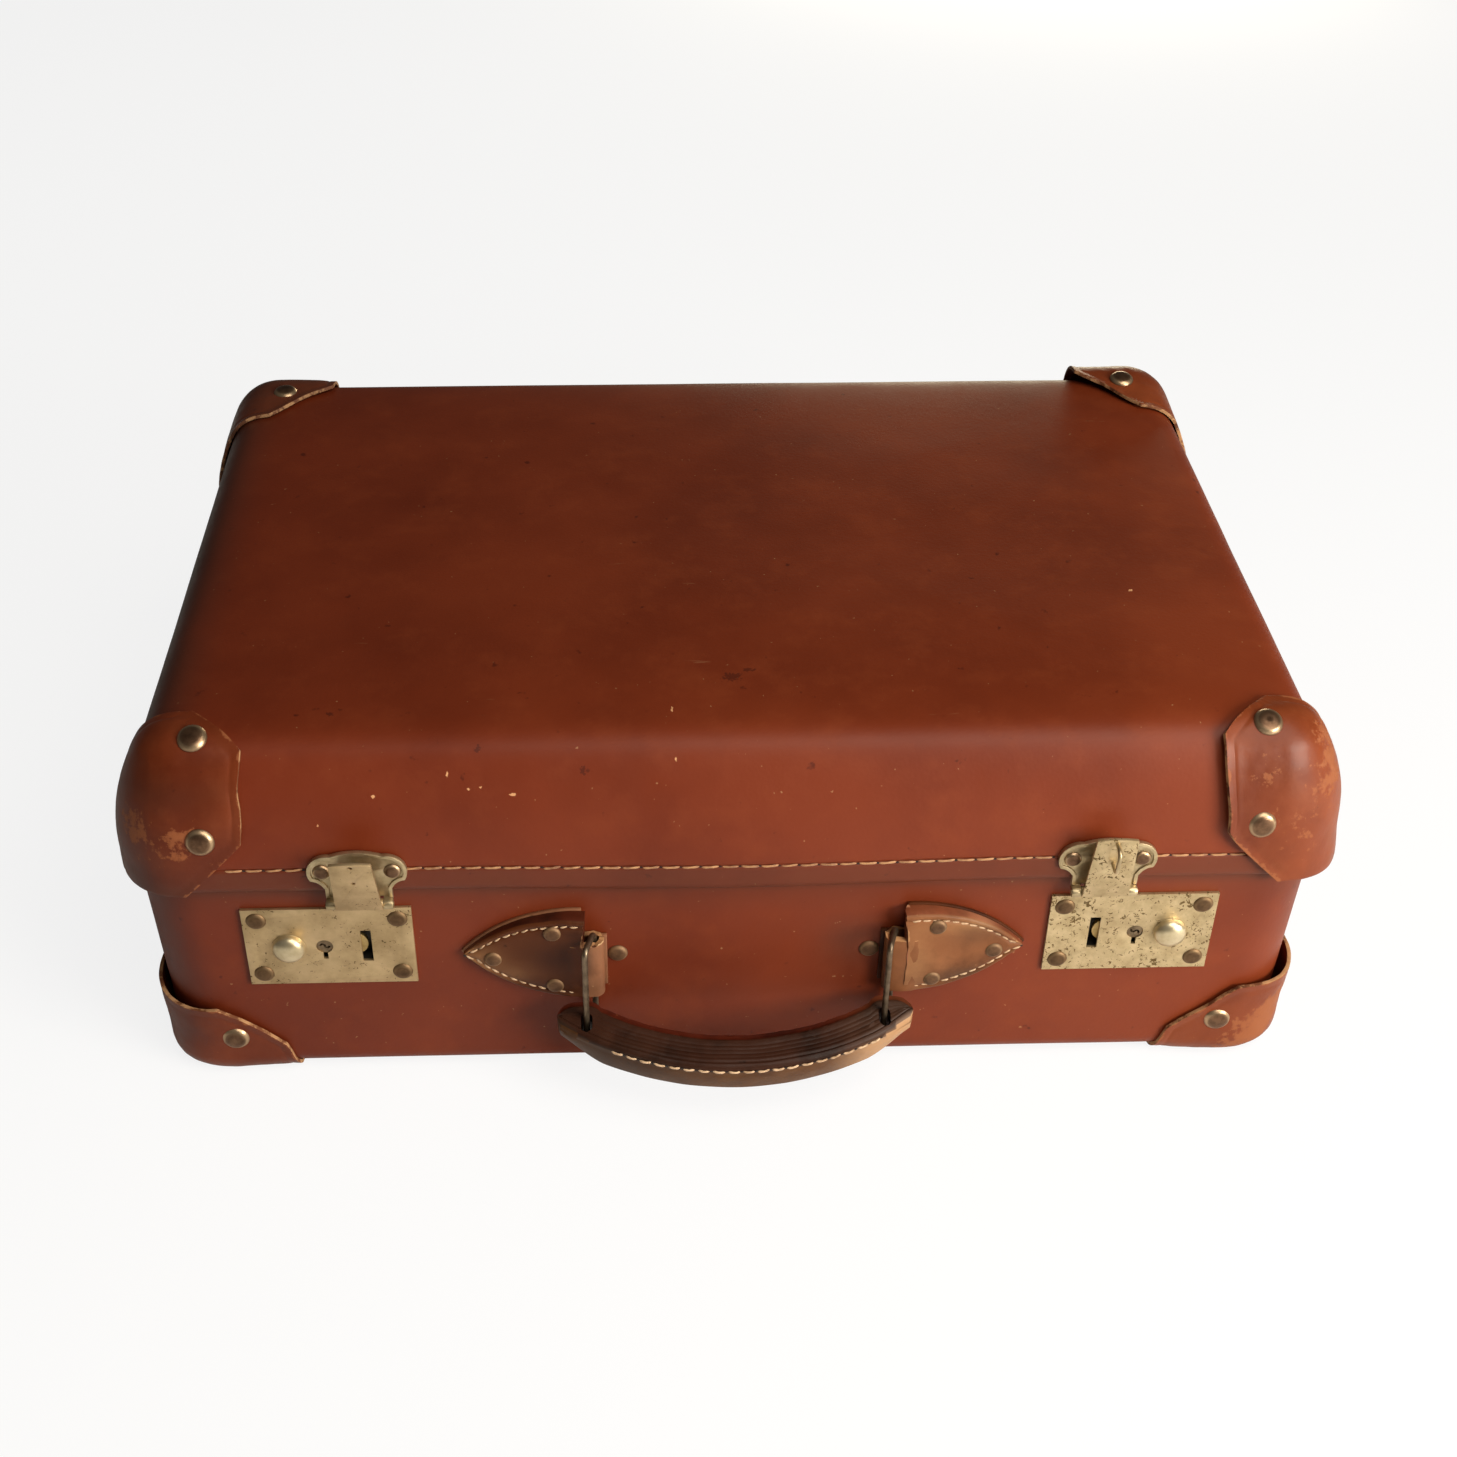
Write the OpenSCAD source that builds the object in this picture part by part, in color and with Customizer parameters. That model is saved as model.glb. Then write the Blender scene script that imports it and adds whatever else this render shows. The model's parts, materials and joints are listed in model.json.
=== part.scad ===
// A small hard leather suitcase, closed, lying on its base with its front towards -Y.
// A deep lid overlaps the upstanding lip of the base and turns on two hinges behind.
// Both hasps are thrown open and the carrying handle droops on its two wire rings.
// Millimetres. Z is up from the floor, and the origin is under the middle of the whole box.

/* [Case] */
// Width over the lid, left to right
case_w = 500; // [480:1:520]
// Depth over the lid, front to back
case_d = 342; // [330:1:354]
// Height of the base, from its underside to the lid's rim
base_h = 104; // [100:0.5:110]
// Height of the lid, from its rim to the edge of its top
lid_h = 64.5; // [63:0.5:68]
// Rise of the crowned top above its own edge
crown_h = 3; // [1:0.5:5]
// Radius of the lid's upright corners
corner_r = 31; // [30:0.5:36]
// Leather thickness of the lid's wall
lid_wall = 2; // [1.8:0.1:2.6]
// Leather and board thickness of the base's wall
base_wall = 3; // [2.6:0.1:3.6]
// Running gap between the lid's wall and the lip inside it
lip_gap = 0.35; // [0.35:0.05:0.6]
// Height of the base's lip above the lid's rim
lip_h = 14; // [12:0.5:15]
// How far each side of the base leans in, from its lip to its underside
side_lean = 5; // [2:0.5:7]
// Radius of the edge round the underside of the base
bottom_r = 9; // [8.5:0.5:12]

/* [Lid edge] */
// Height of the rounded edge between the lid's wall and its top
edge_rise = 57; // [54:0.5:58]
// How far the rounded edge reaches in from the wall
edge_reach = 28; // [27:0.5:29.5]
// Radius of the rounded edge where it leaves the wall
edge_low_r = 100; // [90:1:110]

/* [Binding and linings] */
// Height of the leather binding stitched round the lid's rim
band_h = 12; // [10:0.5:13]
// Depth that the binding is let into the wall
band_t = 1; // [0.8:0.1:1.2]
// Thickness of the wooden frames inside
frame_t = 5; // [4:0.5:6]
// Height of the frame inside the base
base_frame_h = 24; // [16:1:25]
// Height of the frame inside the lid
lid_frame_h = 8; // [6:0.5:8.5]
// Gap that lets the lid's frame down onto the base's lip
frame_rest_gap = 0.3; // [0.2:0.1:0.6]
// Thickness of the paper and cloth lining
lining_t = 0.8; // [0.5:0.1:1.2]

/* [Corner caps] */
// Leather thickness of the corner caps
cap_t = 2.2; // [1.8:0.1:2.6]
// Reach of the front lid caps along the front
lid_cap_x = 55.5; // [52:0.5:60]
// Reach of the front lid caps along the side
lid_cap_y = 35; // [33:1:44]
// Reach of the back lid caps along the back
back_cap_x = 60; // [56:1:66]
// Reach of the back lid caps along the side
back_cap_y = 58; // [54:1:66]
// Height above the rim at which a lid cap starts to narrow
lid_cap_narrow_h = 25; // [22:1:30]
// Width left on each face of a lid cap at the rim
lid_cap_foot = 29; // [26:1:32]
// Reach of the base caps at the floor
base_cap_reach = 62; // [56:1:66]
// Height of the base caps' upper edge
base_cap_h = 43; // [38:1:50]
// Length of the base caps' upper edge, from the corner
base_cap_top = 33; // [31:1:36]
// Diameter of the domed rivet heads on the caps
cap_rivet_d = 12; // [10:0.5:13]
// Height of those heads
cap_rivet_h = 2.4; // [1.8:0.1:3]

/* [Locks] */
// Width of a lock plate
plate_w = 70; // [68:0.5:74]
// Height of a lock plate
plate_h = 41.6; // [40:0.2:44]
// Thickness of a lock plate
plate_t = 1.5; // [1.2:0.1:1.8]
// Middle of the staple slot, left or right of the middle of the case
slot_x = 152.3; // [148:0.1:154]
// Inner edge of a lock plate to the middle of its slot
slot_in = 19.8; // [19.5:0.1:21]
// Width of the staple slot
slot_w = 4.4; // [4:0.1:5]
// Height of the staple slot
slot_h = 17; // [16.6:0.1:18]
// Slot to keyhole
key_pitch = 17.5; // [16.5:0.1:18]
// Slot to the button, at rest
button_pitch = 32.2; // [31.8:0.1:33]
// Lid rim down to the upper edge of a lock plate
plate_drop = 10.4; // [10.2:0.1:12]
// Diameter of the keyhole
key_d = 7; // [6:0.1:7.6]
// Running gap round the turning disc in the keyhole
disc_gap = 0.05; // [0.02:0.01:0.1]
// Diameter of the domed button
button_d = 14; // [13.6:0.1:15]
// Height of the domed button
button_h = 5; // [4:0.1:6]
// Travel of the button and its bolt
bolt_travel = 4.5; // [3.6:0.1:4.6]
// Thickness of the bolt
bolt_t = 1.8; // [1.4:0.1:1.9]
// Height of the bolt's rounded nose
nose_h = 9.6; // [8.6:0.1:9.6]
// Reach of the nose past the middle of the slot
nose_past = 0.5; // [0.2:0.1:1]
// Depth of the lock case behind its plate
lock_case_d = 8; // [7.4:0.1:9]
// Diameter of the lock rivets' heads
lock_rivet_d = 8.4; // [7.6:0.1:8.4]
// Height of the lock rivets' heads
lock_rivet_h = 1.4; // [1:0.1:1.5]
// Lock rivets in from the plate's edges
lock_rivet_in = 6; // [5.4:0.1:6.1]

/* [Hasps] */
// Lid rim down to the hasps' hinge line
hasp_drop = 4.4; // [4.2:0.1:4.8]
// Hinge line of the hasps, out from the lid's front
hasp_out = 3.2; // [3:0.1:3.6]
// Radius of the hasps' hinge barrels
barrel_r = 2.2; // [2:0.1:2.3]
// Radius of the hasps' hinge pins
hasp_pin_r = 1.1; // [0.9:0.05:1.2]
// Running gap in the hinge barrels
pin_gap = 0.04; // [0.02:0.01:0.1]
// Length of the whole hasp barrel
barrel_len = 27; // [25:0.5:30]
// Gap between neighbouring barrels
barrel_gap = 0.15; // [0.1:0.05:0.3]
// Width of the flap at its hinge
flap_w = 19; // [18:0.2:19.2]
// Width of the flap at its free end
flap_end_w = 16.6; // [15:0.2:17]
// Length of the flap from its hinge line
flap_len = 35; // [34:0.5:38]
// Thickness of the flap
flap_t = 1.3; // [1:0.1:1.4]
// Diameter of the staple's wire
staple_d = 1.8; // [1.6:0.1:2]
// Width of the staple over the middle of its legs
staple_w = 11.7; // [11.4:0.1:12]
// Reach of the staple behind the flap
staple_reach = 7; // [6.8:0.1:7.2]
// Lean of the open left flap, out from upright
left_lean = 18; // [5:1:30]
// Lean of the open right flap, out from upright
right_lean = 9; // [5:1:30]
// Thickness of the winged plate on the lid
wing_t = 1.2; // [1:0.1:1.3]
// Height of the rolled edge round the winged plate
wing_edge_h = 0.9; // [0.6:0.1:1]
// Width of that rolled edge
wing_edge_w = 1.6; // [1.2:0.1:2]
// Diameter of the hasp rivets' heads
hasp_rivet_d = 7; // [6.4:0.1:7.4]

/* [Handle] */
// Middle of the handle fittings, right of the middle of the case
fitting_x = 5; // [0:0.5:8]
// Middle of the fittings to each ring's inner bar
ring_half = 62.8; // [58:0.2:66]
// Diameter of the ring wire
ring_d = 2.6; // [2.2:0.1:2.8]
// Depth of a ring, over the middle of its bars
ring_depth = 13; // [12.6:0.1:14]
// Lid rim down to the rings' upper bars
ring_drop = 23.2; // [22.8:0.1:24]
// Length of a ring, over the middle of its end bars
ring_len = 57; // [56:0.5:60]
// Inside radius of the rings' bends
ring_bend = 1.8; // [1.6:0.1:2]
// Swing of both rings towards the left, as the handle lies
ring_swing = 16.5; // [10:0.5:18]
// Ring's inner bar, out from the front of the base
ring_out = 4.5; // [4.4:0.1:5]
// Handle's turning line above the rings' lower bars
grip_up = 12; // [11.8:0.1:12.5]
// Droop of the handle, below straight out
droop = 15; // [10:0.5:15.5]
// Height of the handle's straps
grip_h = 16; // [14:0.5:16]
// Rise of the handle's outer edge over its ends
grip_rise = 21.9; // [20:0.1:24]
// Handle's inner edge, out from the turning line at the middle
grip_inner = 5.1; // [4:0.1:6]
// Outer wall of the handle past its turning line at the rings
end_outer = 6.2; // [6.1:0.1:7]
// Inner wall of the handle past its turning line at the rings
end_inner = 8.8; // [8:0.1:8.9]
// Overhang of each handle end past its ring
end_over = 12.4; // [12:0.1:14]
// Thickness of the wrapping strap
strap_t = 2.6; // [2.4:0.1:3]
// Width of the eye in each handle end
eye_w = 4.9; // [4.7:0.1:5.2]
// Length of the eye across the handle
eye_l = 8.6; // [8.4:0.1:8.8]

/* [Handle mounts] */
// Width of a leaf-shaped mount
leaf_w = 43; // [40:0.5:44]
// Length of a mount from its ring to its tip
leaf_len = 54.5; // [52:0.5:58]
// Start of the leaf, past the ring
leaf_start = 5; // [4.8:0.1:6]
// Lid rim down to the middle of a mount
leaf_drop = 35.2; // [34.6:0.1:36]
// Thickness of the leaf at the ring
leaf_t = 7.5; // [7:0.1:7.6]
// Thickness of the leaf at its tip
leaf_tip_t = 2.5; // [2:0.1:4]
// Thickness of the backing leather
backing_t = 1.5; // [1.2:0.1:1.6]
// Reach of the backing past the ring, towards the middle
tab_len = 5.4; // [5:0.2:6]
// Height of that tab
tab_h = 28; // [24:0.5:30]
// Length of the fold that holds the ring
fold_len = 30; // [28:0.5:30.5]
// Radius of that fold
fold_r = 4.3; // [4:0.1:4.4]
// Gap from the fold up to the ring's upper bend
fold_gap = 0.2; // [0.1:0.1:0.8]
// Diameter of the mount rivets' heads
mount_rivet_d = 7.6; // [7:0.1:8.4]

/* [Rear hinges] */
// Middle of the case to the middle of each hinge
hinge_x = 150; // [120:1:170]
// Width of a hinge
hinge_w = 42; // [36:1:48]
// Length of each hinge leaf
hinge_leaf = 23; // [20:0.5:23]
// Thickness of the hinge leaves
hinge_t = 1.2; // [1:0.1:1.4]
// Radius of the hinge barrels
hinge_r = 2.6; // [2.4:0.1:2.7]
// Radius of the hinge pins
hinge_pin_r = 1.4; // [1.2:0.05:1.6]
// Hinge line, out from the back of the lid
hinge_out = 3.4; // [3.3:0.1:3.8]
// Hinge line below the lid's rim
hinge_drop = 0.8; // [0.6:0.1:1.2]

/* [Fixings] */
// Diameter of every rivet's shank
shank_d = 3.2; // [2.6:0.1:3.4]
// Diameter of the clenched tail inside
tail_d = 6; // [5:0.1:6.4]
// Thickness of the clenched tail
tail_t = 0.8; // [0.6:0.1:1]
// Clear space round a clenched tail
tail_gap = 0.4; // [0.3:0.1:0.6]
// Depth that a tail is pulled into the wall
tail_bite = 0.2; // [0.15:0.05:0.3]

/* [Hidden] */
$fn = 96;
far = 400;
sliver = 0.01;
// Depth by which tangent faces are let into each other
overlap = 0.02;

// Heights above the floor
under_z = cap_t;
rim_z = under_z + base_h;
lip_z = rim_z + lip_h;
top_z = rim_z + lid_h;

// The base inside the lid
base_in = lid_wall + lip_gap;
base_hw = case_w/2 - base_in;
base_hd = case_d/2 - base_in;
base_r = corner_r - base_in;
lean_a = atan(side_lean/(lip_z - under_z));

// The two tangent arcs of the lid's edge
edge_c = edge_low_r - edge_reach;
edge_k = edge_rise - edge_low_r;
edge_step = (edge_c*edge_c + edge_k*edge_k)/(-2*edge_k);
edge_top_r = edge_low_r - edge_step;
edge_a = acos(edge_c/edge_step);
edge_z = top_z + overlap - edge_rise;
edge_top_z = edge_z + edge_step*sin(edge_a);

// Locks and hasps
plate_in_x = slot_x - slot_in;
plate_z = rim_z - plate_drop - plate_h/2;
plate_y = -base_hd;
key_x = slot_x + key_pitch;
button_x = slot_x + button_pitch;
stem_d = 4;
stem_gap = 0.1;
bolt_gap = 0.2;
bolt_y = plate_y + bolt_gap;
bolt_h = 10;
bolt_heel_x = button_x + stem_d/2 + 1;
arbor_d = 4;
arbor_gap = 0.35;
case_wall = 1;
lock_case_w = plate_w - 8;
lock_case_h = 22;
hasp_z = rim_z - hasp_drop;
hasp_y = -case_d/2 - hasp_out;
side_barrel = (barrel_len - flap_w)/2;
flap_y = hasp_y + barrel_r - 0.6;
staple_v = hasp_z - plate_z;
wing_top = 26;
wing_rivet_u = 14.3;
wing_rivet_v = 15.8;

// Handle
ring_y = -base_hd - ring_out;
ring_top_z = rim_z - ring_drop;
ring_low_z = ring_top_z - ring_len;
grip_z = ring_low_z + grip_up;
bar_dx = -ring_depth*sin(ring_swing);
grip_y = ring_y - ring_depth*cos(ring_swing);
grip_x = fitting_x + bar_dx;
leaf_z = rim_z - leaf_drop;
leaf_y = -base_hd - backing_t;
leaf_slope = atan((leaf_t - leaf_tip_t)/(leaf_len - leaf_start));
leaf_arc = ((leaf_len - leaf_start - 3)*(leaf_len - leaf_start - 3) + leaf_w*leaf_w/4)/leaf_w;
fold_top_z = ring_top_z - ring_d/2 - ring_bend - fold_gap;
tab_z = fold_top_z - fold_len/2;

// Rear hinges
hinge_y = case_d/2 + hinge_out;
hinge_z = rim_z - hinge_drop;
knuckle = hinge_w/5;

// The whole box is centred front to back between the drooping handle and the hinge barrels
front_reach = -grip_y + grip_rise*cos(droop) + grip_h/2*sin(droop);
back_reach = hinge_y + hinge_r;
shift_y = (front_reach - back_reach)/2;

leather = "#7a3b22";
dark_leather = "#4a2a1c";
nickel = "#b5a075";
board = "#b08a5a";
paper = "#c8b48c";

// Half width of the base's leaning side at height z, grown by o
function side_at(z, o) = base_hw - (lip_z - z)*tan(lean_a) + o/cos(lean_a);
// Height and slope of the lid's edge at d in from the wall, grown by o
function edge_top_tilt(d) = asin((edge_reach - d)/edge_top_r);
function edge_low_tilt(z) = asin((z - edge_z)/edge_low_r);

module placed() translate([0, shift_y, 0]) children();
module left() mirror([1, 0, 0]) children();
module both_sides() { children(); mirror([1, 0, 0]) children(); }
module front_back() { children(); mirror([0, 1, 0]) children(); }

module bar(x0, x1, y0, y1, z0, z1)
    translate([x0, y0, z0]) cube([x1 - x0, y1 - y0, z1 - z0]);

// Outline in X and Z swept along the whole depth
module swept_y(half) translate([0, half, 0]) rotate([90, 0, 0]) linear_extrude(2*half) children();
// Outline in Y and Z swept along the whole width
module swept_x(half) translate([-half, 0, 0]) rotate([90, 0, 90]) linear_extrude(2*half) children();

// The base's outer form grown by o: leaning sides, upright front, rounded corners and underside
module base_form(o) {
    low = under_z - o;
    r = bottom_r + o;
    intersection() {
        leaning_prism(o, low);
        mirror([1, 0, 0]) leaning_prism(o, low);
        swept_y(far/2) tub_outline(side_at(low + r, o), far, low - overlap, r, low + r - 0.4);
        swept_x(far) tub_outline(base_hd + o, base_hd + o, low, r, low + r);
    }
}

// A tall prism whose right-hand end is the leaning side, with its two rounded corners
module leaning_prism(o, low) {
    r = base_r + o;
    half = base_hd + o + overlap;
    translate([side_at(low, o), 0, low]) rotate([0, lean_a, 0]) translate([0, 0, -60])
        linear_extrude(lip_z - low + 120) {
            translate([-2*far, -half]) square([2*far - r, 2*half]);
            translate([-r - 1, r - half]) square([r + 1, 2*(half - r)]);
            for (s = [-1, 1]) translate([-r, s*(half - r)]) circle(r);
        }
}

// Rounded underside with its lower corners at half, opening out to wide above the height step
module tub_outline(half, wide, low, r, step) {
    translate([r - half, low]) square([2*(half - r), r]);
    for (s = [-1, 1]) translate([s*(half - r), low + r]) circle(r);
    translate([-wide, step]) square([2*wide, lip_z - step]);
}

// Section of the lid's wall and edge, out from a corner's centre, grown by o
module edge_section(o) {
    turn_z = edge_z + (edge_low_r + o)*sin(edge_a);
    square([corner_r + o, edge_z]);
    intersection() {
        translate([corner_r - edge_low_r, edge_z]) circle(edge_low_r + o, $fn = 180);
        translate([0, edge_z - 10]) square([corner_r + o, turn_z - edge_z + 10]);
    }
    intersection() {
        translate([corner_r - edge_reach, edge_top_z]) circle(edge_top_r + o);
        translate([0, edge_z]) square([corner_r + o, far]);
    }
    translate([0, edge_z]) square([corner_r - edge_reach, top_z + o + 5 - edge_z]);
}

// The lid's outer form grown by o, carried down to the floor for cutting
module lid_form(o) {
    cx = case_w/2 - corner_r;
    cy = case_d/2 - corner_r;
    intersection() {
        union() {
            both_sides() front_back() translate([cx, cy, 0]) rotate_extrude(angle = 90) edge_section(o);
            both_sides() translate([cx, cy, 0]) rotate([90, 0, 0]) linear_extrude(2*cy) edge_section(o);
            front_back() translate([-cx, cy, 0]) rotate([90, 0, 90]) linear_extrude(2*cx) edge_section(o);
            bar(-cx, cx, -cy, cy, 0, top_z + o + 5);
        }
        bar(-far, far, -far, far, -1, top_z + o);
    }
}

module between(z0, z1) intersection() { children(); bar(-far, far, -far, far, z0, z1); }

// A rivet along +Z: domed head on the surface, shank below it and a clenched tail
module rivet(head_d, head_h, grip, tail = true) {
    inside = -grip + tail_bite;
    ball = (head_d*head_d/4 + head_h*head_h)/(2*head_h);
    intersection() {
        translate([0, 0, head_h - ball]) sphere(ball);
        cylinder(d = head_d, h = head_h);
    }
    translate([0, 0, inside]) cylinder(d = shank_d, h = -inside);
    if (tail) translate([0, 0, inside - tail_t]) cylinder(d = tail_d, h = tail_t);
}

// The hole that a rivet needs: its shank through the grip and room for its tail
module rivet_hole(grip) {
    translate([0, 0, -grip - 1]) cylinder(d = shank_d, h = grip + 2);
    translate([0, 0, -grip - tail_t - 1]) cylinder(d = tail_d + 2*tail_gap, h = tail_t + 1 + tail_bite);
}

module shank_hole() translate([0, 0, -far/2]) cylinder(d = shank_d, h = far);

// Rivet places. Each child is drawn along the outward normal, on the cap's or plate's surface
module at_lid_top_rivets() {
    front_d = 20;
    back_d = edge_reach + 6.5;
    for (s = [-1, 1]) {
        a = edge_top_tilt(front_d);
        translate([s*214, -case_d/2 + edge_reach, edge_top_z]) rotate([a, 0, 0])
            translate([0, 0, edge_top_r + cap_t]) children();
        translate([s*214, case_d/2 - back_d, top_z + cap_t]) children();
    }
}

module at_lid_wall_rivets() {
    rivet_z = edge_z + 19.5;
    a = edge_low_tilt(rivet_z);
    for (s = [-1, 1], f = [-1, 1])
        translate([s*213, f*(case_d/2 - edge_low_r), edge_z])
            rotate([-f*(90 - a), 0, 0]) translate([0, 0, edge_low_r + cap_t]) children();
}

module at_base_cap_rivets()
    for (s = [-1, 1], f = [-1, 1])
        translate([s*213, f*(base_hd + cap_t), 23.5]) rotate([-f*90, 0, 0]) children();

module at_lock_rivets()
    for (s = [-1, 1], u = [lock_rivet_in, plate_w - lock_rivet_in], v = [-1, 1])
        translate([s*(plate_in_x + u), plate_y - plate_t, plate_z + v*(plate_h/2 - lock_rivet_in)])
            rotate([90, 0, 0]) children();

module at_hasp_rivets()
    for (s = [-1, 1], u = [-1, 1])
        translate([s*slot_x + u*wing_rivet_u, -case_d/2 - wing_t, hasp_z + wing_rivet_v])
            rotate([90, 0, 0]) children();

module at_base_leaf_rivets()
    for (s = [-1, 1], u = [-1, 1])
        translate([s*hinge_x + u*(hinge_w/2 - 7), base_hd + hinge_t, hinge_z - 17.5])
            rotate([-90, 0, 0]) children();

module at_lid_leaf_rivets()
    for (s = [-1, 1], u = [-1, 1])
        translate([s*hinge_x + u*(hinge_w/2 - 7), case_d/2 + hinge_t, lip_z + 5])
            rotate([-90, 0, 0]) children();

// On a leaf mount, u out from the ring and v up from its middle, for the right-hand mount
module on_leaf(u, v)
    translate([ring_half + leaf_start, leaf_y - leaf_t, leaf_z + v])
        rotate([0, 0, leaf_slope]) translate([(u - leaf_start)/cos(leaf_slope), 0, 0])
            rotate([90, 0, 0]) children();

module at_leaf_rivets() {
    for (p = [[42, -1], [17, 14.5], [16.5, -14.5]]) on_leaf(p[0], p[1]) children();
}

module at_tab_rivet() translate([ring_half - tab_len - mount_rivet_d/2 - 0.6, -base_hd, leaf_z - 4])
    rotate([90, 0, 0]) children();

module on_both_fittings() {
    translate([fitting_x, 0, 0]) children();
    translate([fitting_x, 0, 0]) mirror([1, 0, 0]) children();
}

// Base

module lock_window() bar(plate_in_x + 4, plate_in_x + 4 + lock_case_w, -far, -base_hd + lock_case_d + 1,
    plate_z - lock_case_h/2, plate_z + lock_case_h/2);

module base_holes() {
    at_base_cap_rivets() rivet_hole(cap_t + base_wall);
    at_lock_rivets() rivet_hole(plate_t + base_wall);
    at_base_leaf_rivets() rivet_hole(hinge_t + base_wall);
    on_both_fittings() at_leaf_rivets() rivet_hole(leaf_grip);
    on_both_fittings() at_tab_rivet() rivet_hole(base_wall);
    both_sides() lock_window();
}

leaf_grip = leaf_t + backing_t + base_wall;

module base_shell() placed() color(leather) difference() {
    base_form(0);
    base_form(-base_wall);
    bar(-far, far, -far, far, lip_z - sliver, far);
    base_holes();
}

module base_frame() placed() color(board) between(lip_z - base_frame_h, lip_z - sliver) difference() {
    base_form(-base_wall);
    base_form(-base_wall - frame_t);
}

module base_lining() placed() color(paper) difference() {
    between(0, lip_z - base_frame_h) difference() {
        base_form(-base_wall);
        base_form(-base_wall - lining_t);
    }
    base_holes();
}

// Corner cap regions: the outline on the front or back, the one on the side and the cut corner
module cap_column(px, py) intersection() {
    swept_y(far) polygon(px);
    swept_x(far) polygon(py);
}

module base_cap() {
    cx = base_hw;
    cy = base_hd;
    low = -1;
    knee = base_cap_h*0.43;
    difference() {
        intersection() {
            base_form(cap_t);
            cap_column(
                [[cx - base_cap_reach, low], [far/2 + 100, low], [far/2 + 100, base_cap_h],
                 [cx - base_cap_top + 3, base_cap_h], [cx - base_cap_reach + 6, knee]],
                [[cy - base_cap_reach, low], [far/2 + 100, low], [far/2 + 100, base_cap_h + 4],
                 [cy - base_cap_top + 3, base_cap_h + 4], [cy - base_cap_reach + 6, knee]]);
        }
        base_form(0);
        translate([0, 0, low]) linear_extrude(under_z - low + sliver)
            polygon([[0, 0], [cx - base_cap_reach + 24, 0],
                [cx - base_cap_reach + 24, cy - base_cap_reach], [cx - base_cap_reach, cy - 24],
                [0, cy - 24]]);
        at_base_cap_rivets() rivet_hole(cap_t + base_wall);
    }
}

module base_cap_front_right() placed() color(leather) mirror([0, 1, 0]) base_cap();
module base_cap_front_left() placed() color(leather) left() mirror([0, 1, 0]) base_cap();
module base_cap_back_right() placed() color(leather) base_cap();
module base_cap_back_left() placed() color(leather) left() base_cap();
module base_cap_rivets() placed() color(nickel)
    at_base_cap_rivets() rivet(cap_rivet_d, cap_rivet_h, cap_t + base_wall);

// Locks, drawn for the right-hand side

module lock_plate() difference() {
    bar(plate_in_x, plate_in_x + plate_w, plate_y - plate_t, plate_y,
        plate_z - plate_h/2, plate_z + plate_h/2);
    bar(slot_x - slot_w/2, slot_x + slot_w/2, -far, 0, plate_z - slot_h/2, plate_z + slot_h/2);
    translate([key_x, 0, plate_z]) rotate([90, 0, 0]) cylinder(d = key_d, h = far);
    bar(key_x - 1, key_x + 1, -far, 0, plate_z - key_d/2 - 3.4, plate_z);
    bar(button_x - stem_d/2 - stem_gap, button_x + stem_d/2 + stem_gap + bolt_travel, -far, 0,
        plate_z - stem_d/2 - stem_gap, plate_z + stem_d/2 + stem_gap);
    at_lock_rivets() shank_hole();
}

module lock_case() difference() {
    x0 = plate_in_x + 4;
    bar(x0, x0 + lock_case_w, plate_y, plate_y + lock_case_d,
        plate_z - lock_case_h/2, plate_z + lock_case_h/2);
    bar(x0 + case_wall, x0 + lock_case_w - case_wall, -far, plate_y + lock_case_d - case_wall,
        plate_z - lock_case_h/2 + case_wall, plate_z + lock_case_h/2 - case_wall);
}

module bolt() {
    nose_x = slot_x - nose_past;
    half = nose_h/2;
    sag = 2.6;
    r = (half*half + sag*sag)/(2*sag);
    y1 = bolt_y + bolt_t;
    intersection() {
        translate([nose_x + r, y1, plate_z]) rotate([90, 0, 0]) cylinder(r = r, h = bolt_t);
        bar(nose_x, nose_x + sag, bolt_y, y1, plate_z - half, plate_z + half);
    }
    difference() {
        bar(nose_x + sag, bolt_heel_x, bolt_y, y1, plate_z - half, plate_z + half);
        translate([button_x, 0, plate_z]) rotate([90, 0, 0]) cylinder(d = stem_d, h = far);
        bar(key_x - arbor_d/2 - arbor_gap - bolt_travel, key_x + arbor_d/2 + arbor_gap, bolt_y - 1, far,
            plate_z - arbor_d/2 - arbor_gap, plate_z + arbor_d/2 + arbor_gap);
    }
}

module button() {
    ball = (button_d*button_d/4 + button_h*button_h)/(2*button_h);
    face_y = plate_y - plate_t - 0.1;
    translate([button_x, face_y, plate_z]) rotate([90, 0, 0]) {
        intersection() {
            translate([0, 0, button_h - ball]) sphere(ball);
            cylinder(d = button_d, h = button_h);
        }
        translate([0, 0, face_y - bolt_y - bolt_t]) cylinder(d = stem_d, h = bolt_y + bolt_t - face_y);
    }
}

module key_disc(turn) translate([key_x, plate_y, plate_z]) rotate([90, 0, 0]) rotate([0, 0, turn])
    difference() {
        translate([0, 0, -lock_case_d + case_wall]) union() {
            cylinder(d = arbor_d, h = lock_case_d - case_wall);
            translate([0, 0, lock_case_d - case_wall]) cylinder(d = key_d - 2*disc_gap, h = plate_t - 0.4);
        }
        for (s = [-1, 1]) rotate([0, 0, s > 0 ? 0 : 180]) translate([0.9, 0, -1]) difference() {
            cylinder(r = 1.4, h = 4);
            translate([0, 0, -1]) cylinder(r = 0.5, h = 6);
            translate([-3, -3, -1]) cube([6, 3, 6]);
        }
    }

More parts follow.
